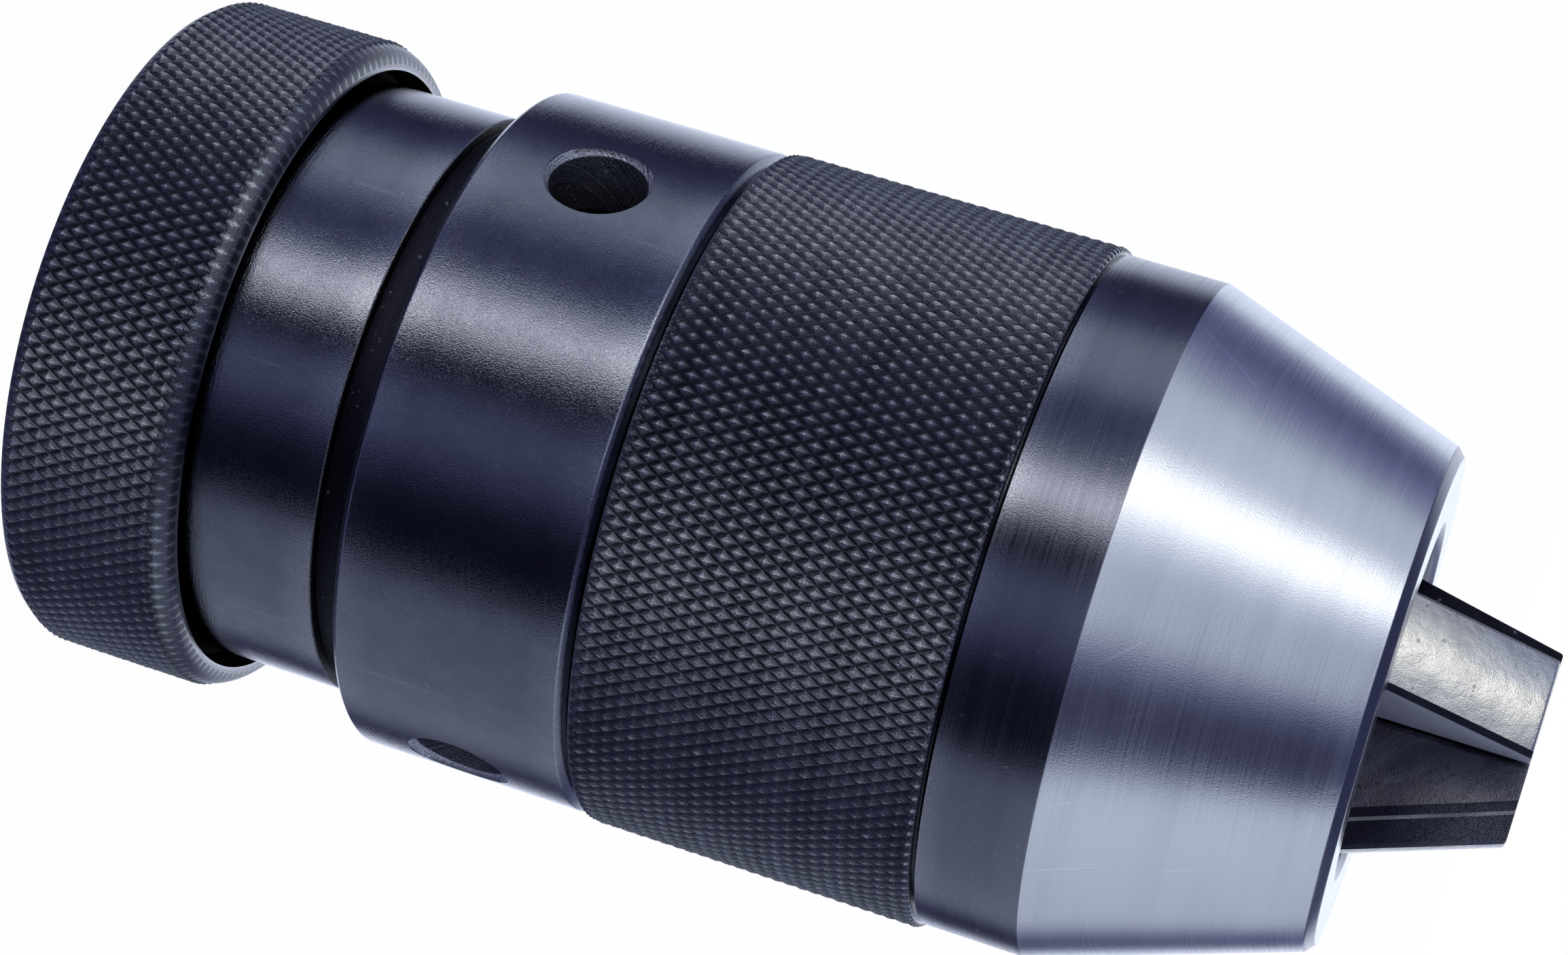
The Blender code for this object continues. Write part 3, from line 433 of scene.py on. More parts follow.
steel("felt", (0.035, 0.032, 0.03), (0.02, 0.018, 0.016), 0.95, metallic=0.0, grain_bump=0.35,
      line_bump=0.0, line_rough=0.0, wear=0.0, specks=0.5, speck_colour=(0.16, 0.15, 0.14))
print("finishes:", len(FINISH))

# %% [markdown]
# ## The diamond knurl
# A knurling wheel pressed at 30 degrees to the axis leaves two families of V grooves that cross, and the
# steel between them stands up as four-sided pyramids. In unrolled coordinates the peaks sit on a grid
# and again halfway between, so a half cell is a square with two peaks and two groove crossings at its
# corners: the groove is its diagonal and the height is |1 - a - b|. Splitting each small quad along that
# diagonal keeps the groove bottoms and the ridges crisp with few faces.

# %% Knurl sizes and height
KNURL_AROUND = 144           # diamonds round the piece
KNURL_DEPTH = 0.44           # millimetres from peak to groove
KNURL_ANGLE = 30.0           # groove to axis
KNURL_SPLIT = 3              # grid steps across half a diamond
BLUNT = 0.86                 # height at which the pyramid tips are pressed flat
ROUNDING = 0.8               # front chamfer: 0 leaves it flat, 1 makes it a full quarter round
PLAIN_STEP = 0.2             # share of the chamfer that is turned away below the knurl
CHAMFER_ROWS = 9             # extra rows over the front chamfer


def knurl_row_step(radius):
    """Row distance along the axis: half a diamond's height over the grid steps."""
    around = 2 * math.pi * radius / KNURL_AROUND
    return around / math.tan(math.radians(KNURL_ANGLE)) / 2 / KNURL_SPLIT


def knurl_height(row, column, seed):
    """|1 - a - b| inside each half cell, blunted, with a small random height for each pyramid."""
    a, b = row / KNURL_SPLIT, column / KNURL_SPLIT
    cell_a, cell_b = np.floor(a), np.floor(b)
    flipped = (cell_a + cell_b) % 2 == 1
    part_a, part_b = a - cell_a, b - cell_b
    part_b = np.where(flipped, 1 - part_b, part_b)
    height = np.abs(1 - part_a - part_b)
    peak_a = np.round(a).astype(int)
    peak_b = np.round(b).astype(int) % (2 * KNURL_AROUND)
    rng = np.random.default_rng(seed)
    table = rng.uniform(0.90, 1.0, (int(peak_a.max()) + 2, 2 * KNURL_AROUND + 1))
    return np.minimum(height, BLUNT * table[peak_a, peak_b])


def grip_and_rest(outline, band):
    """The corners within a band of the outer radius, rising, and the softened rest from top to bottom."""
    radius = outline[:, 0].max()
    is_outer = outline[:, 0] > radius - band
    outer = outline[is_outer][np.argsort(outline[is_outer, 1])]
    walk = np.roll(outline, -int(np.argmax((outline == outer[-1]).all(1))), 0)
    if walk[1, 0] > radius - band:
        walk = np.roll(walk[::-1], 1, 0)
    inner = walk[walk[:, 0] <= radius - band]
    rest = softened(np.concatenate([outer[-1:], inner, outer[:1]]), 0.15, 3)[2:-2]
    rest = split_long(rest, 4.0)[:-1]
    is_rear_face = np.abs(rest[:, 1] - outer[0, 1]) < 1e-6
    return outer, rest[(rest[:, 0] < radius - 0.2) | is_rear_face]


def grip_envelope(heights, outer, chamfer):
    """Largest radius at each height: it leans from the front chamfer of width c towards a round.

    The round is R - c + (1 - s) sqrt(c^2 - inward^2), so it starts a step below the knurl's peaks.
    """
    cap = np.interp(heights, outer[:, 1], outer[:, 0])
    inward = np.clip(heights - outer[-1, 1] + chamfer, 0, chamfer)
    arc = outer[:, 0].max() - chamfer + (1 - PLAIN_STEP) * np.sqrt(chamfer**2 - inward**2)
    return np.where(inward > 0, cap + ROUNDING * (arc - cap), cap)


def knurled(node_name, seed, band):
    """Closed piece: rows of knurl with radius min(R - depth (1 - height), envelope(z)), then the rest."""
    outline = cad_outline(node_name)
    radius = outline[:, 0].max()
    outer, rest = grip_and_rest(outline, band)
    low, high = outer[0, 1], outer[-1, 1]
    columns = KNURL_AROUND * 2 * KNURL_SPLIT
    step = (high - low) / round((high - low) / knurl_row_step(radius))
    chamfer = radius - outer[-1, 0]
    heights = np.unique(np.round(np.concatenate([
        np.arange(low, high + step / 2, step), outer[:, 1],
        np.linspace(high - chamfer, high, CHAMFER_ROWS)]), 3))
    row, column = np.meshgrid((heights - low) / step, np.arange(columns), indexing="ij")
    crest = knurl_height(row, column, seed)
    skin = np.minimum(radius - KNURL_DEPTH * (1 - crest), grip_envelope(heights, outer, chamfer)[:, None])
    all_radius = np.concatenate([skin, np.repeat(rest[:, :1], columns, 1)])
    all_height = np.concatenate([np.repeat(heights[:, None], columns, 1),
                                 np.repeat(rest[:, 1:], columns, 1)])
    angle = np.arange(columns)[None] * 2 * np.pi / columns
    points = spun(all_radius, angle, all_height)
    quads = ring_faces(len(all_radius), columns)
    quad_row, quad_column = quads[:, 0] // columns, quads[:, 0] % columns
    middle_row = np.interp(quad_row + 0.5, np.arange(len(heights)), row[:, 0])
    slash = (middle_row // KNURL_SPLIT + quad_column // KNURL_SPLIT) % 2 == 1
    split = np.where(slash[:, None], quads[:, [0, 1, 2, 0, 2, 3]], quads[:, [0, 1, 3, 1, 2, 3]])
    profile = np.stack([all_radius[:, 0], all_height[:, 0]], 1)
    turned_wear = np.repeat(edge_wear(profile)[len(heights):, None], columns, 1)
    wear = np.concatenate([np.clip((crest - 0.5) * 2, 0, 1), turned_wear])
    slots = np.repeat(np.where(quad_row < len(heights) - 1, 0, 1), 2)
    return mesh_piece(node_name + "_knurled", points, split.reshape(-1, 3),
                      {"wear": wear.ravel()}, slots, 24)

# %% [markdown]
# ## The two knurled pieces
# The rear ring and the sleeve get the same knurl, as the same wheel would cut both. Their end chamfers
# are turned after the knurling, so the front one is plain and rounded, and the pyramids end at it.

# %% Rear ring and sleeve
def paint(piece, *names):
    """Materials in slot order."""
    for name in names:
        piece.data.materials.append(FINISH[name])
    return piece


def fit(piece, body, nodes):
    """Puts a finished piece on its body, in place of the CAD nodes it stands for."""
    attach(piece, body)
    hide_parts(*nodes)
    triangles = sum(len(face.vertices) - 2 for face in piece.data.polygons)
    print(f"{piece.name}: {triangles} triangles on {body}")
    return piece


for node_name, seed, band, body, record_slot in (
        ("rear_ring", 11, 1.9, "chuck_body", "ring_black_oxide"),
        ("knurled_sleeve", 12, 1.2, "outer_group", "sleeve_black_oxide")):
    grip = paint(knurled(node_name, seed, band), "knurl_oxide", "collar_oxide")
    fit(grip, body, [node_name])

# %% [markdown]
# ## Drilled and milled features
# Holes and slots are cut after turning, just as in the shop, so they are made the same way here: a tool
# body is placed and taken away with a boolean. The result is kept as a plain mesh and the tool is
# deleted. Tools carry their own finish, so the wall of a hole can differ from the skin around it.

# %% Cutting tools
def cut(piece, tools, operation="DIFFERENCE", sharp=28):
    """Takes tools away from a piece, or adds them, and keeps the result as its mesh."""
    for tool in tools:
        change = piece.modifiers.new(tool.name, "BOOLEAN")
        change.operation, change.object, change.solver = operation, tool, "MANIFOLD"
        change.material_mode = "TRANSFER"
    result = bpy.data.meshes.new_from_object(piece.evaluated_get(bpy.context.evaluated_depsgraph_get()))
    piece.modifiers.clear()
    old, piece.data = piece.data, result
    bpy.data.meshes.remove(old)
    for tool in tools:
        bpy.data.objects.remove(tool)
    piece.data.name = piece.name
    piece.data.shade_smooth()
    piece.data.set_sharp_from_angle(angle=math.radians(sharp))
    return piece


def pointed(tool, centre, azimuth, lying=True):
    """Turns a tool made along +Z so that it points outwards at an azimuth, and moves it to a centre."""
    turn = Matrix.Rotation(math.radians(azimuth), 4, "Z")
    tip = Matrix.Rotation(math.radians(90), 4, "Y") if lying else Matrix()
    tool.data.transform(Matrix.Translation(Vector(centre) * MM) @ turn @ tip)
    return tool


DOWEL_BORE, KEY_BORE = 1.3, 1.8
HUB = 0.01                   # radius of the closed core that keeps a round tool a solid


def block(name, bottom, top):
    """Six-sided solid from four bottom and four top corners given in the same turning order."""
    points = np.array(list(bottom) + list(top), float)
    faces = np.array([[3, 2, 1, 0], [4, 5, 6, 7], [0, 1, 5, 4], [1, 2, 6, 5], [2, 3, 7, 6], [3, 0, 4, 7]])
    return mesh_piece(name, points, faces)


def rod(name, radius, low, high, columns=32):
    """Plain round tool between two heights, with a small closed hub so that it is a solid."""
    return turned(name, np.array([[HUB, low], [radius, low], [radius, high], [HUB, high]]), columns)


def bored_for(kind, radius, below, finish_name):
    """Upright round tools over the three frame nodes of one kind, longer than them at both ends."""
    tools = []
    for number in (1, 2, 3):
        low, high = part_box(f"{kind}_{number}")
        centre = (low + high) / 2 / MM
        tool = rod(f"{kind}_bore_{number}", radius, low.z / MM - below, high.z / MM + 0.3)
        tool.data.materials.append(FINISH[finish_name])
        tools.append(pointed(tool, (centre.x, centre.y, 0), 0, lying=False))
    return tools

# %% [markdown]
# ## The hood
# The black collar is the hand piece of the drive: it turns with the knurled sleeve. Three holes take a
# pin spanner for hard tightening. They go right through the wall, with a small chamfer at the mouth.

# %% Hood with its spanner holes
SPANNER_RADIUS, SPANNER_CHAMFER, SPANNER_HEIGHT = 3.9, 0.4, 38.43
SPANNER_DEPTH = 12.0         # longer than the wall is thick
GROOVE_RADIUS, GROOVE_MARGIN = 23.7, 0.12
hood_outline = cad_outline("hood")
collar_radius = hood_outline[:, 0].max()
groove = hood_outline[np.abs(hood_outline[:, 0] - GROOVE_RADIUS) < 0.2][:, 1]


def hood_slot(radius, height):
    """1 in the turned groove in front of the rear cylinder, painted near-black as the shade in that recess.
    """
    inside = (height > groove.min() - GROOVE_MARGIN) & (height < groove.max() + GROOVE_MARGIN)
    return (inside & (radius > GROOVE_RADIUS - 0.7)).astype(int)


hood = turned("hood_turned", split_long(softened(hood_outline, 0.14), 3.0), 288, hood_slot)
# The groove's slot gets the near-black painted shade.
paint(hood, "collar_oxide", "painted_shade_black")

# %% Spanner holes
SPANNER_COLUMNS = 72
SPANNER_PROFILE = np.array([
    [HUB, -SPANNER_DEPTH], [SPANNER_RADIUS, -SPANNER_DEPTH], [SPANNER_RADIUS, -SPANNER_CHAMFER - 0.35],
    [SPANNER_RADIUS + 0.08, -SPANNER_CHAMFER - 0.25], [SPANNER_RADIUS + SPANNER_CHAMFER, -0.15],
    [SPANNER_RADIUS + SPANNER_CHAMFER, 3], [HUB, 3]])
SPANNER_WEAR = (0, 0, 0.3, 1, 1, 1, 0)       # bare steel only near the mouth
spanner_tools = []
for number in range(3):
    tool = turned(f"spanner_{number}", SPANNER_PROFILE, SPANNER_COLUMNS)
    tool.data.materials.append(FINISH["bore_oxide"])
    mouth_wear = np.repeat(SPANNER_WEAR, SPANNER_COLUMNS).astype(np.float32)
    tool.data.attributes["wear"].data.foreach_set("value", mouth_wear)
    azimuth = 120 * number
    turn = math.radians(azimuth)
    centre = (collar_radius * math.cos(turn), collar_radius * math.sin(turn), SPANNER_HEIGHT)
    spanner_tools.append(pointed(tool, centre, azimuth))
cut(hood, spanner_tools)
fit(hood, "outer_group", ["hood"])

# %% [markdown]
# ## The nose
# One turned shell in two finishes. The rear band keeps its black oxide; the long cone was ground bright
# afterwards, and so was the flat face. The narrow chamfer between cone and face was left black. All of
# that is one outline, so the finish is chosen per face from the radius and height of its middle.

# %% Nose shell
nose_outline = cad_outline("nose_shell")
face_height = nose_outline[:, 1].max()
BAND_END = 85.8              # height at which the black band meets the ground cone
CONE_FRONT_RADIUS = 20.3     # the cone ends just outside this
SKIN_HEIGHTS, SKIN_RADII = [77.0, 89.0, 104.6, 107.3], [26.0, 24.9, 19.5, 13.9]
cone_front = nose_outline[nose_outline[:, 0] > CONE_FRONT_RADIUS][:, 1].max()


def nose_slot(radius, height):
    """0 oxide on the band and chamfer, 1 ground on the cone and face, 2 plain steel inside."""
    outside = radius > np.interp(height, SKIN_HEIGHTS, SKIN_RADII)
    on_cone = (height > BAND_END + 0.02) & (height < cone_front - 0.02)
    on_face = height > face_height - 0.02
    return np.where(outside, np.where(on_cone | on_face, 1, 0), 2)


nose = turned("nose_turned", split_long(softened(nose_outline, 0.12), 2.5), 288, nose_slot)
paint(nose, "band_oxide", "ground_cone", "guide_steel")
cut(nose, bored_for("guide_dowel", DOWEL_BORE, 0.3, "guide_steel"))
fit(nose, "outer_group", ["nose_shell"])

# %% [markdown]
# ## The body
# The fixed body is bored at the rear for the arbor, carries the bearing on its flange and ends in the
# threaded tube. Its rear rim shares three half holes with the ring, where the grub screws sit.

# %% Body and ring keys
body_piece = paint(turned("body_turned", split_long(softened(cad_outline("body"), 0.14), 3.0), 192),
                   "body_steel")
cut(body_piece, bored_for("ring_key", KEY_BORE, 1.5, "body_steel"))
fit(body_piece, "chuck_body", ["body"])

# %% [markdown]
# ## The bearing
# Sixteen balls run between two grooved races. They are one mesh: a sphere of latitude and longitude,
# copied to every place by adding the centres read from the frame.

# %% Balls
def spheres(name, centres, radius, across=32, down=16):
    """x = c + r (sin p cos a, sin p sin a, cos p) for every centre c."""
    p = np.linspace(0.02, np.pi - 0.02, down)[:, None]
    a = np.arange(across)[None] * 2 * np.pi / across
    unit = np.stack([np.sin(p) * np.cos(a), np.sin(p) * np.sin(a), np.cos(p) + 0 * a], -1).reshape(-1, 3)
    quads = ring_faces(down, across)[: (down - 1) * across]
    caps = [np.arange(across)[::-1], np.arange(across) + (down - 1) * across]
    mesh = bpy.data.meshes.new(name)
    points = (np.asarray(centres)[:, None] + radius * unit[None]).reshape(-1, 3) * MM
    faces = []
    for ball in range(len(centres)):
        shift = ball * len(unit)
        faces += (quads[:, ::-1] + shift).tolist() + [(cap[::-1] + shift).tolist() for cap in caps]
    mesh.from_pydata(points, [], faces)
    mesh.shade_smooth()
    piece = bpy.data.objects.new(name, mesh)
    bpy.context.scene.collection.objects.link(piece)
    return piece


BALL_RADIUS, POCKET_RADIUS = 1.99, 2.35
CAGE_BORE = 15.9
ball_names = [f"ball_{number:02d}" for number in range(1, 17)]
ball_centres = [(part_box(name)[0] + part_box(name)[1]) / 2 / MM for name in ball_names]
balls = paint(spheres("bearing_balls", [tuple(centre) for centre in ball_centres], BALL_RADIUS),
              "ball_steel")
fit(balls, "ball_train", ball_names)

# %% Cage
cage_low, cage_high = span("ball_cage")
cage_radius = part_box("ball_cage")[1].x / MM
cage_outline = np.array([[CAGE_BORE, cage_low], [cage_radius, cage_low],
                         [cage_radius, cage_high], [CAGE_BORE, cage_high]])
cage = paint(turned("cage_turned", softened(cage_outline, 0.15), 192), "cage_brass")
pockets = []
for centre, name in zip(ball_centres, ball_names):
    tool = rod("pocket_" + name, POCKET_RADIUS, -2.0, 2.0)
    tool.data.materials.append(FINISH["cage_brass"])
    pockets.append(pointed(tool, centre, 0, lying=False))
cut(cage, pockets)
fit(cage, "ball_train", ["ball_cage"])

# %% Races, washer and seal
for node_name, body, finish_name, record_slot, corner in (
        ("front_race", "chuck_body", "race_steel", "race_steel", 0.12),
        ("rear_race", "outer_group", "race_steel", "race_steel", 0.12),
        ("friction_washer", "outer_group", "washer_bronze", "washer_bronze", 0.2),
        ("dust_seal", "chuck_body", "felt", "felt", 0.35)):
    piece = turned(node_name + "_turned", softened(cad_outline(node_name), corner), 192)
    fit(paint(piece, finish_name), body, [node_name])

# %% [markdown]
# ## The wave spring
# A flat ring bent into four waves. Its section is a rounded rectangle carried round the axis while its
# height follows a sine, which is all that a stamped wave washer is.

# %% Wave spring
WAVE_BORE, WAVE_HALF_THICK = 17.45, 0.25
WAVE_CREST, WAVES, WAVE_COLUMNS = 0.8, 4, 240


def wave_spring():
    """Section (r, h) carried round: z = middle + h + crest sin(waves a)."""
    low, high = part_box("wave_spring")
    outer = high.x / MM
    section = softened(np.array([[WAVE_BORE, -WAVE_HALF_THICK], [outer, -WAVE_HALF_THICK],
                                 [outer, WAVE_HALF_THICK], [WAVE_BORE, WAVE_HALF_THICK]]), 0.12)
    angle = np.arange(WAVE_COLUMNS) * 2 * np.pi / WAVE_COLUMNS
    height = (low.z + high.z) / 2 / MM + WAVE_CREST * np.sin(WAVES * angle)
    points = spun(section[:, :1], angle, section[:, 1:] + height)
    return mesh_piece("wave_spring_bent", points, ring_faces(len(section), WAVE_COLUMNS),
                      {"wear": np.zeros(len(points))})


fit(paint(wave_spring(), "spring_steel"), "outer_group", ["wave_spring"])

# %% [markdown]
# ## The drive screw
# A left-hand thread: seen from the side its ridges rise to the left. On a grid of angle and height the
# phase is z / lead + angle / turn, and the radius falls from the crest by a rounded triangle of that
# phase. The head has a T slot for each jaw, cut with the same boolean as the holes.

# %% Where the jaws stand
def azimuth_of(node_name):
    """Direction of a node's middle from the axis, in degrees."""
    spots = np.array([v.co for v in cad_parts[node_name].data.vertices])
    return math.degrees(math.atan2(spots[:, 1].mean(), spots[:, 0].mean()))


jaw_angles = [azimuth_of(f"jaw_{number}") for number in (1, 2, 3)]
print("jaw angles:", [round(azimuth, 2) for azimuth in jaw_angles])

# %% Screw with its thread
LEAD, THREAD_DEPTH, CREST, SCREW_BORE_RIM = 2.5, 1.15, 9.2, 8.4
HEAD_REAR, HEAD_RIM, HEAD_FLOOR = 76.1, 12.8, 4.4
SCREW_COLUMNS, SCREW_ROWS = 192, 120
screw_low, screw_high = span("drive_screw")
head_radius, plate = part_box("drive_screw")[1].x / MM, HEAD_REAR + HEAD_FLOOR


def threaded_screw():
    """Shank r = crest - depth (1 - triangle(z / lead + a / turn)), faded at both ends, then the head."""
    heights = np.linspace(screw_low + 0.8, plate - 0.5, SCREW_ROWS)[:, None]
    angle = np.arange(SCREW_COLUMNS)[None] * 2 * np.pi / SCREW_COLUMNS
    phase = (heights / LEAD + angle / (2 * np.pi)) % 1
    fade_in = np.clip((heights - heights[0]) / 2.0, 0, 1)
    fade_out = np.clip((heights[-1] - heights) / 1.5, 0, 1)
    triangle = np.clip(np.abs(2 * phase - 1) * 1.25 - 0.125, 0, 1)
    shank = CREST - THREAD_DEPTH * (1 - triangle) * fade_out * (0.4 + 0.6 * fade_in)
    head = softened(np.array([
        [HEAD_RIM, plate], [HEAD_RIM, HEAD_REAR], [head_radius, HEAD_REAR], [head_radius, screw_high],
        [HUB, screw_high], [HUB, screw_low], [SCREW_BORE_RIM, screw_low]]), 0.35)
    rest = np.concatenate([[[CREST, plate - 0.01]], head])
    radius = np.concatenate([shank, np.repeat(rest[:, :1], SCREW_COLUMNS, 1)])
    height = np.concatenate([np.repeat(heights, SCREW_COLUMNS, 1),
                             np.repeat(rest[:, 1:], SCREW_COLUMNS, 1)])
    points = spun(radius, angle, height)
    return mesh_piece("screw_threaded", points, ring_faces(len(radius), SCREW_COLUMNS),
                      {"wear": np.zeros(len(points))})


screw = paint(threaded_screw(), "screw_steel")
print("screw:", len(screw.data.vertices), "points")

# %% T slots in the head
TEE_INNER, TEE_FLOOR, TEE_STEP = 3.6, 82.4, 85.9
TEE_HALF, STEM_HALF = 5.0, 3.1
TEE_REACH, STEM_TOP = 27.0, 90.0


def upright(name, inner, outer, half, low, high, azimuth):
    """Rectangular screw-steel block along +X between two heights, turned to an azimuth."""
    corners = [(inner, -half), (outer, -half), (outer, half), (inner, half)]
    made = block(name, [(x, y, low) for x, y in corners], [(x, y, high) for x, y in corners])
    made.data.materials.append(FINISH["screw_steel"])
    return pointed(made, (0, 0, 0), azimuth, lying=False)


slots = []
for number, azimuth in enumerate(jaw_angles):
    slots += [upright(f"tee_{number}", TEE_INNER, TEE_REACH, TEE_HALF, TEE_FLOOR, TEE_STEP, azimuth),
              upright(f"stem_{number}", TEE_INNER, TEE_REACH + 0.5, STEM_HALF, TEE_STEP - 0.5, STEM_TOP,
                      azimuth)]
cut(screw, slots)
fit(screw, "screw_group", ["drive_screw"])

# %% [markdown]
# ## The jaws
# A jaw is a bar that lies along the slope of the nose. Its section has a 120 degree gripping wedge
# towards the axis, flanks that are relieved towards it, and a round ground back whose corners are
# chamfered. The section is lofted along the height while its back moves out with the slope.

# %% Jaw sizes and section
JAW_SLOPE = math.tan(math.radians(20.0))
JAW_TIP_BACK, JAW_TAIL_REACH, JAW_WIDTH, JAW_INNER_WIDTH = 8.2, 15.8, 8.6, 4.6
JAW_CORNER, JAW_CROWN, JAW_APEX = 0.45, 0.7, 0.231
RAIL_WIDTH, GLINT_LINE_INSET = 3.0, 1.9        # the dark strip along the flank's outer edge, and the inset of its painted glint line
JAW_BOTTOM = 88.9                       # where the wedge section starts, above its T tail
jaw_low, jaw_high = span("jaw_1")


def jaw_back(height):
    """Distance from the axis to the back: it follows the slope and stops at the tail's reach."""
    return np.minimum(JAW_TIP_BACK + (jaw_high - height) * JAW_SLOPE, JAW_TAIL_REACH)


def jaw_ring(back, shrink=0.0):
    """Section points (x, y) in order: gripping wedge, one flank with its dark strip and painted glint line,
    round back, other flank.
    """
    half, inner = JAW_WIDTH / 2, JAW_INNER_WIDTH / 2
    shoulder = JAW_APEX + inner / math.tan(math.radians(60))
    corner = back - JAW_CROWN - JAW_CORNER

    def flank(x):
        return inner + (half - inner) * (x - shoulder) / (corner - shoulder)

    share = np.linspace(-1, 1, 17)
    crown = np.stack([back - JAW_CROWN * share**2, (half - JAW_CORNER) * share], 1)
    # Where the flank's dark strip starts, and where the painted glint line lies inside it.
    strip_and_glint = [corner - RAIL_WIDTH, corner - GLINT_LINE_INSET - 0.3, corner - GLINT_LINE_INSET, corner - 0.06]
    below = ([[JAW_APEX + 0.12, 0.18], [JAW_APEX + 0.12, -0.18], [shoulder - 0.12, 0.2 - inner],
              [shoulder + 0.2, -flank(shoulder + 0.2)]] + [[x, -flank(x)] for x in strip_and_glint]
             + [[corner + 0.08, 0.08 - half]])
    above = [[corner + 0.08, half - 0.08], [corner - 0.06, flank(corner - 0.06)],
             [shoulder + 0.2, flank(shoulder + 0.2)], [shoulder - 0.12, inner - 0.2]]
    ring = np.concatenate([below, crown, above])
    centre = np.array([(back + shoulder) / 2, 0])
    return ring + (centre - ring) * shrink

# %% Jaw finishes
BACK, FLANK, CORNER, PAINTED_GLINT, FAR_FLANK = range(5)
AROUND_JAW = np.array([FLANK] * 4 + [CORNER, PAINTED_GLINT] + [CORNER] * 3 + [BACK] * 16 + [CORNER] * 2
                      + [FAR_FLANK] * 2 + [FLANK])
# The three jaws are alike; their far flanks differ only by the painted shade and painted light each is
# given.
FAR_FLANKS = ("jaw_flank", "painted_shade_black", "jaw_side_painted_light")     # one per jaw: dark brown, black as a painted shade, and pale as a painted light


def jaw_wear(points):
    """1 on the near flank by the tip, fading down its height and towards the axis."""
    near_tip = np.clip((points[:, 2] - jaw_high + 9.0) / 6.0, 0, 1)
    off_axis = np.clip((points[:, 0] - 3.5) / 3.0, 0, 1)
    return near_tip * off_axis * (points[:, 1] < 0)

# %% Jaws
JAW_ROWS, TIP_SOFT = 44, 0.24
TIP_BELOW = np.array([0.15, 0.08, 0.03, 0.0])              # rows of the softened tip, below the end
TIP_DROP = np.array([0.01, 0.04, 0.09, 0.16])              # how far the back falls there
TIP_SHRINK = np.array([0.0, 0.003, 0.008, 0.015])          # how far the section closes there
TAIL_STEM = {"inner": 4.4, "outer": 15.5, "half": 2.8, "low": 84.9, "high": JAW_BOTTOM + 0.5}
TAIL_TEE = {"inner": 4.0, "outer": 15.8, "half": 4.7, "low": jaw_low, "high": 85.6}


def jaw(number, azimuth, far_flank):
    """Sections along +X lofted from the tail to the tip, closed by two fans, turned to the azimuth."""
    still = np.zeros(JAW_ROWS)
    heights = np.concatenate([np.linspace(JAW_BOTTOM, jaw_high - TIP_SOFT, JAW_ROWS), jaw_high - TIP_BELOW])
    backs = jaw_back(heights) - np.concatenate([still, TIP_DROP])
    rings = np.stack([jaw_ring(back, shrink)
                      for back, shrink in zip(backs, np.concatenate([still, TIP_SHRINK]))])
    count, across = rings.shape[:2]
    walls = np.concatenate([rings, np.repeat(heights[:, None], across, 1)[..., None]], -1).reshape(-1, 3)
    hubs = [[rings[end, :, 0].mean(), 0, heights[end]] for end in (0, -1)]
    points = np.concatenate([walls, hubs])
    quads = ring_faces(count, across)[: (count - 1) * across]
    around = np.arange(across)
    following, last = (around + 1) % across, (count - 1) * across
    bottom_fan = np.stack([following, around, np.full(across, len(walls))], 1)
    tip_fan = np.stack([around + last, following + last, np.full(across, len(walls) + 1)], 1)
    faces = np.concatenate([quads[:, [0, 1, 2]], quads[:, [0, 2, 3]], bottom_fan, tip_fan])
    side = np.tile(AROUND_JAW, count - 1)
    finishes = np.concatenate([side, side, np.full(2 * across, FLANK)])
    turn = np.array(Matrix.Rotation(math.radians(azimuth), 3, "Z"))
    name = f"jaw_{number}_ground"
    piece = mesh_piece(name, points @ turn.T, faces, {"wear": jaw_wear(points)}, finishes, 22)
    paint(piece, "ground_jaw", "jaw_flank", "jaw_corner", "jaw_painted_glint", far_flank)
    tail = [upright(f"{name}_stem", azimuth=azimuth, **TAIL_STEM),
            upright(f"{name}_tee", azimuth=azimuth, **TAIL_TEE)]
    cut(piece, tail, "UNION", 22)
    fit(piece, f"jaw_{number}_slider", [f"jaw_{number}"])


for number, (azimuth, far_flank) in enumerate(zip(jaw_angles, FAR_FLANKS), start=1):
    jaw(number, azimuth, far_flank)

# %% [markdown]
# ## The jaw guide
# The guide is pressed into the nose and holds the jaws on their slopes. Its slots are sloping channels,
# open to the bore.

# %% Jaw guide
CHANNEL_PLAY, CHANNEL_GAP = 0.4, 0.43    # beside the jaw and behind its back
CHANNEL_INNER = 0.5
guide = paint(turned("guide_turned", split_long(softened(cad_outline("jaw_guide"), 0.14), 3.0), 192),
              "guide_steel")
guide_low, guide_high = span("jaw_guide")


def channel_end(height):
    """Four corners of a channel at one height, reaching just past the jaw's back on the slope."""
    half = JAW_WIDTH / 2 + CHANNEL_PLAY
    outer = JAW_TIP_BACK + (jaw_high - height) * JAW_SLOPE + CHANNEL_GAP
    return [(CHANNEL_INNER, -half, height), (outer, -half, height), (outer, half, height),
            (CHANNEL_INNER, half, height)]


channels = []
for number, azimuth in enumerate(jaw_angles):
    tool = block(f"channel_{number}", channel_end(guide_low - 2), channel_end(guide_high + 2))
    tool.data.materials.append(FINISH["guide_steel"])
    channels.append(pointed(tool, (0, 0, 0), azimuth, lying=False))
cut(guide, channels + bored_for("guide_dowel", DOWEL_BORE, 0.5, "guide_steel"))
fit(guide, "outer_group", ["jaw_guide"])

# %% [markdown]
# ## Small pieces kept from the frame
# The circlip, the grub screws and the dowels are already the right shape, so they keep their CAD mesh and
# only get a finish.

# %% Finishes for carried nodes
KEPT = {"retaining_ring": "spring_steel"}
KEPT.update({f"ring_key_{number}": "key_steel" for number in (1, 2, 3)})
KEPT.update({f"guide_dowel_{number}": "guide_steel" for number in (1, 2, 3)})
for node_name, finish_name in KEPT.items():
    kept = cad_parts[node_name]
    for holder in kept.material_slots:
        holder.material = FINISH[finish_name]
print("kept nodes:", sorted(KEPT))

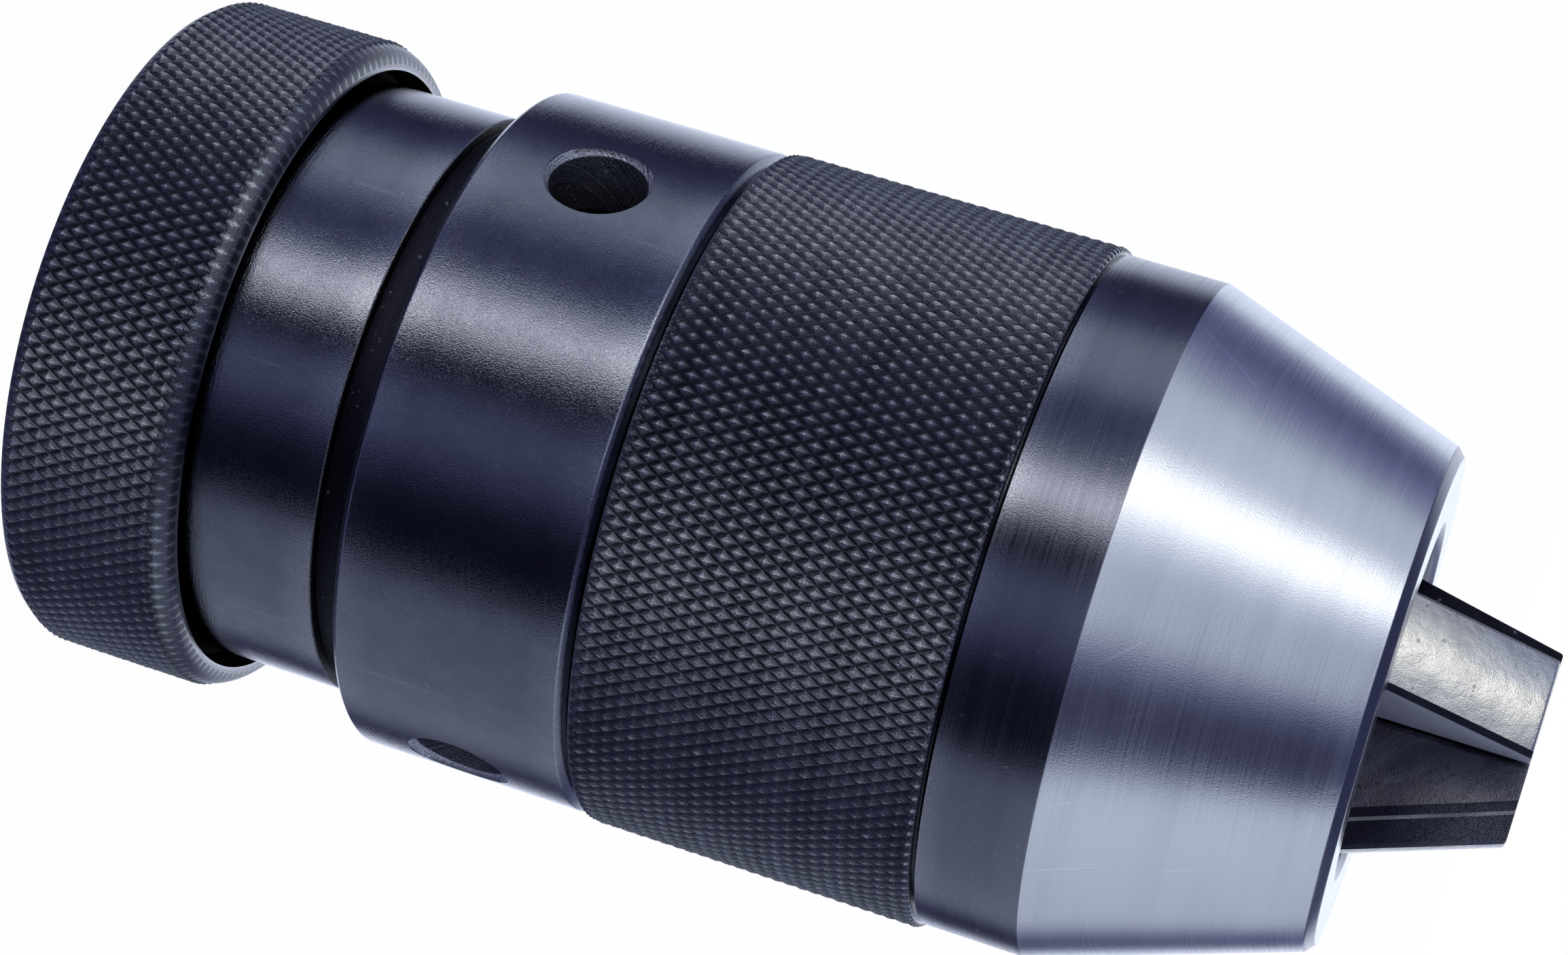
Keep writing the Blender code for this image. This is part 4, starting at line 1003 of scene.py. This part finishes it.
# %% [markdown]
# ## Studio
# Polished steel shows the room more than itself. So the room is made as soft upright strips: brightness
# is a function of the azimuth only, with a narrow key strip on one side, black gaps beside the camera
# and broad pale walls behind. It fades towards the ceiling, which keeps forward chamfers dark. Camera
# rays see a plain pale backdrop instead.

# %% World
VIEW_AZIMUTH = -72.24
# Strip edges as (degrees from the camera's side, brightness), level with the chuck and above it.
LOW_STRIPS = [
    (-180, 1.1), (-162, 1.05), (-152, 0.06), (-138, 0.06), (-127, 0.56), (-61, 0.44), (-56, 0.02),
    (-26, 0.03), (-17, 0.18), (-6, 0.34), (4, 0.34), (10, 0.02), (25, 0.03), (28, 3.2), (36, 3.2),
    (41, 0.48), (56, 0.18), (68, 0.16), (76, 0.82), (97, 0.80), (106, 0.17), (136, 0.04), (144, 0.9),
    (180, 1.1)]
HIGH_STRIPS = [
    (-180, 1.3), (-160, 1.2), (-150, 0.2), (-140, 0.2), (-125, 0.62), (-60, 0.72), (-50, 0.06),
    (-28, 0.04), (-16, 0.12), (-4, 0.62), (24, 0.62), (34, 1.1), (42, 2.1), (52, 2.1), (60, 0.68),
    (84, 0.68), (100, 0.25), (122, 0.1), (136, 0.5), (146, 1.0), (160, 1.3), (180, 1.3)]
PEAK = 3.2                   # the brightest strip, since a ramp's colours stop at 1
room = bpy.data.worlds.new("studio")
bpy.context.scene.world = room
room.use_nodes = True
tree = room.node_tree
for old in list(tree.nodes):
    tree.nodes.remove(old)
out = node(tree, "ShaderNodeOutputWorld")
direction = node(tree, "ShaderNodeSeparateXYZ")
join(tree, node(tree, "ShaderNodeTexCoord").outputs["Generated"], direction.inputs[0])
azimuth = maths(tree, "ARCTAN2", direction.outputs[1], direction.outputs[0])
share = maths(tree, "FRACT", maths(tree, "MULTIPLY_ADD", azimuth, -1 / (2 * math.pi),
                                   VIEW_AZIMUTH / 360 + 0.5))


def strip_ring(strips):
    """Brightness over azimuth, measured from the camera's side: a ramp with one stop per strip edge."""
    made = node(tree, "ShaderNodeValToRGB")
    made.color_ramp.interpolation = "EASE"
    elements = made.color_ramp.elements
    while len(elements) < len(strips):
        elements.new(0.5)
    for element, (side, _) in zip(elements, strips):
        element.position = (side + 180) / 360
    for element, (_, brightness) in zip(elements, strips):
        element.color = (*([brightness / PEAK] * 3), 1)
    join(tree, share, made.inputs[0])
    return maths(tree, "MULTIPLY", made.outputs[0], PEAK)


CEILING, UNDERSIDE = 0.16, 0.15
height = direction.outputs[2]
strength = mixed(tree, ramp(tree, height, -0.05, 0.35), strip_ring(LOW_STRIPS), strip_ring(HIGH_STRIPS),
                 colour=False)
strength = mixed(tree, ramp(tree, height, 0.55, 0.88), strength, CEILING, colour=False)
strength = mixed(tree, ramp(tree, maths(tree, "MULTIPLY", height, -1.0), 0.45, 0.85), strength, UNDERSIDE,
                 colour=False)
dusk = mixed(tree, ramp(tree, strength, 0.12, 0.5), (0.76, 0.81, 1.70), (0.88, 0.97, 1.20))
tint = mixed(tree, ramp(tree, strength, 0.7, 1.9), dusk, (1.0, 1.0, 1.03))
light = node(tree, "ShaderNodeBackground")
join(tree, tint, light.inputs[0])
join(tree, strength, light.inputs[1])
backdrop = node(tree, "ShaderNodeBackground")
join(tree, (1.0, 1.0, 1.0), backdrop.inputs[0])
join(tree, 1.0, backdrop.inputs[1])
choose = node(tree, "ShaderNodeMixShader")
join(tree, node(tree, "ShaderNodeLightPath").outputs["Is Camera Ray"], choose.inputs[0])
join(tree, light.outputs[0], choose.inputs[1])
join(tree, backdrop.outputs[0], choose.inputs[2])
join(tree, choose.outputs[0], out.inputs[0])
print("strips:", len(LOW_STRIPS), len(HIGH_STRIPS))

# %% [markdown]
# ## Floor and camera
# The chuck stands on its rear face. The floor gives off its own even white, so that it joins the
# backdrop without a line, and reflections pass it by. The camera is rolled onto its side, so that the
# chuck lies across the picture with its nose low on the right.

# %% Floor
FLOOR_HALF = 8.0             # metres
floor_mesh = bpy.data.meshes.new("floor")
floor_mesh.from_pydata([(x * FLOOR_HALF, y * FLOOR_HALF, 0)
                        for x, y in ((-1, -1), (1, -1), (1, 1), (-1, 1))], [], [(0, 1, 2, 3)])
floor = bpy.data.objects.new("floor", floor_mesh)
bpy.context.scene.collection.objects.link(floor)
paper = bpy.data.materials.new("floor_paper")
paper.use_nodes = True
for label, value in (("Base Color", (0.06, 0.06, 0.06)), ("Roughness", 1.0), ("Specular IOR Level", 0.0),
                     ("Emission Color", (1.0, 1.0, 1.0)), ("Emission Strength", 0.97)):
    join(paper.node_tree, value, paper.node_tree.nodes["Principled BSDF"].inputs[label])
floor_mesh.materials.append(paper)
floor.visible_glossy = False
floor.visible_shadow = False
floor.visible_diffuse = False
floor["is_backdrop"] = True

# %% Camera
AIM = Vector((-2.7, -0.84, 55.3)) * MM
DISTANCE, ELEVATION, ROLL, LENS = 298.8 * MM, 12.37, 107.09, 84.16
flat_angle, tilt = math.radians(VIEW_AZIMUTH), math.radians(ELEVATION)
outward = Vector((math.cos(flat_angle) * math.cos(tilt), math.sin(flat_angle) * math.cos(tilt),
                  math.sin(tilt)))
forward = -outward
level_right = forward.cross(Vector((0, 0, 1))).normalized()
level_up = level_right.cross(forward)
roll = math.radians(ROLL)
right = level_right * math.cos(roll) + level_up * math.sin(roll)
upward = level_up * math.cos(roll) - level_right * math.sin(roll)
placed = Matrix((right, upward, outward)).transposed().to_4x4()
placed.translation = AIM + outward * DISTANCE
eye = bpy.data.cameras.new("camera")
eye.lens, eye.sensor_width = LENS, 36.0
eye.clip_start, eye.clip_end = 0.01, 20.0
camera = bpy.data.objects.new("camera", eye)
camera.matrix_world = placed
bpy.context.scene.collection.objects.link(camera)
bpy.context.scene.camera = camera
bpy.context.scene.view_settings.view_transform = "Standard"
print("camera at", [round(v / MM, 1) for v in placed.translation])

# %% Bounds against the CAD box
new_low, new_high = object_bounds()
for label, excess in (("low", cad_low - new_low), ("high", new_high - cad_high)):
    print("past the CAD box,", label, "side (mm):", [round(v / MM, 3) for v in excess])
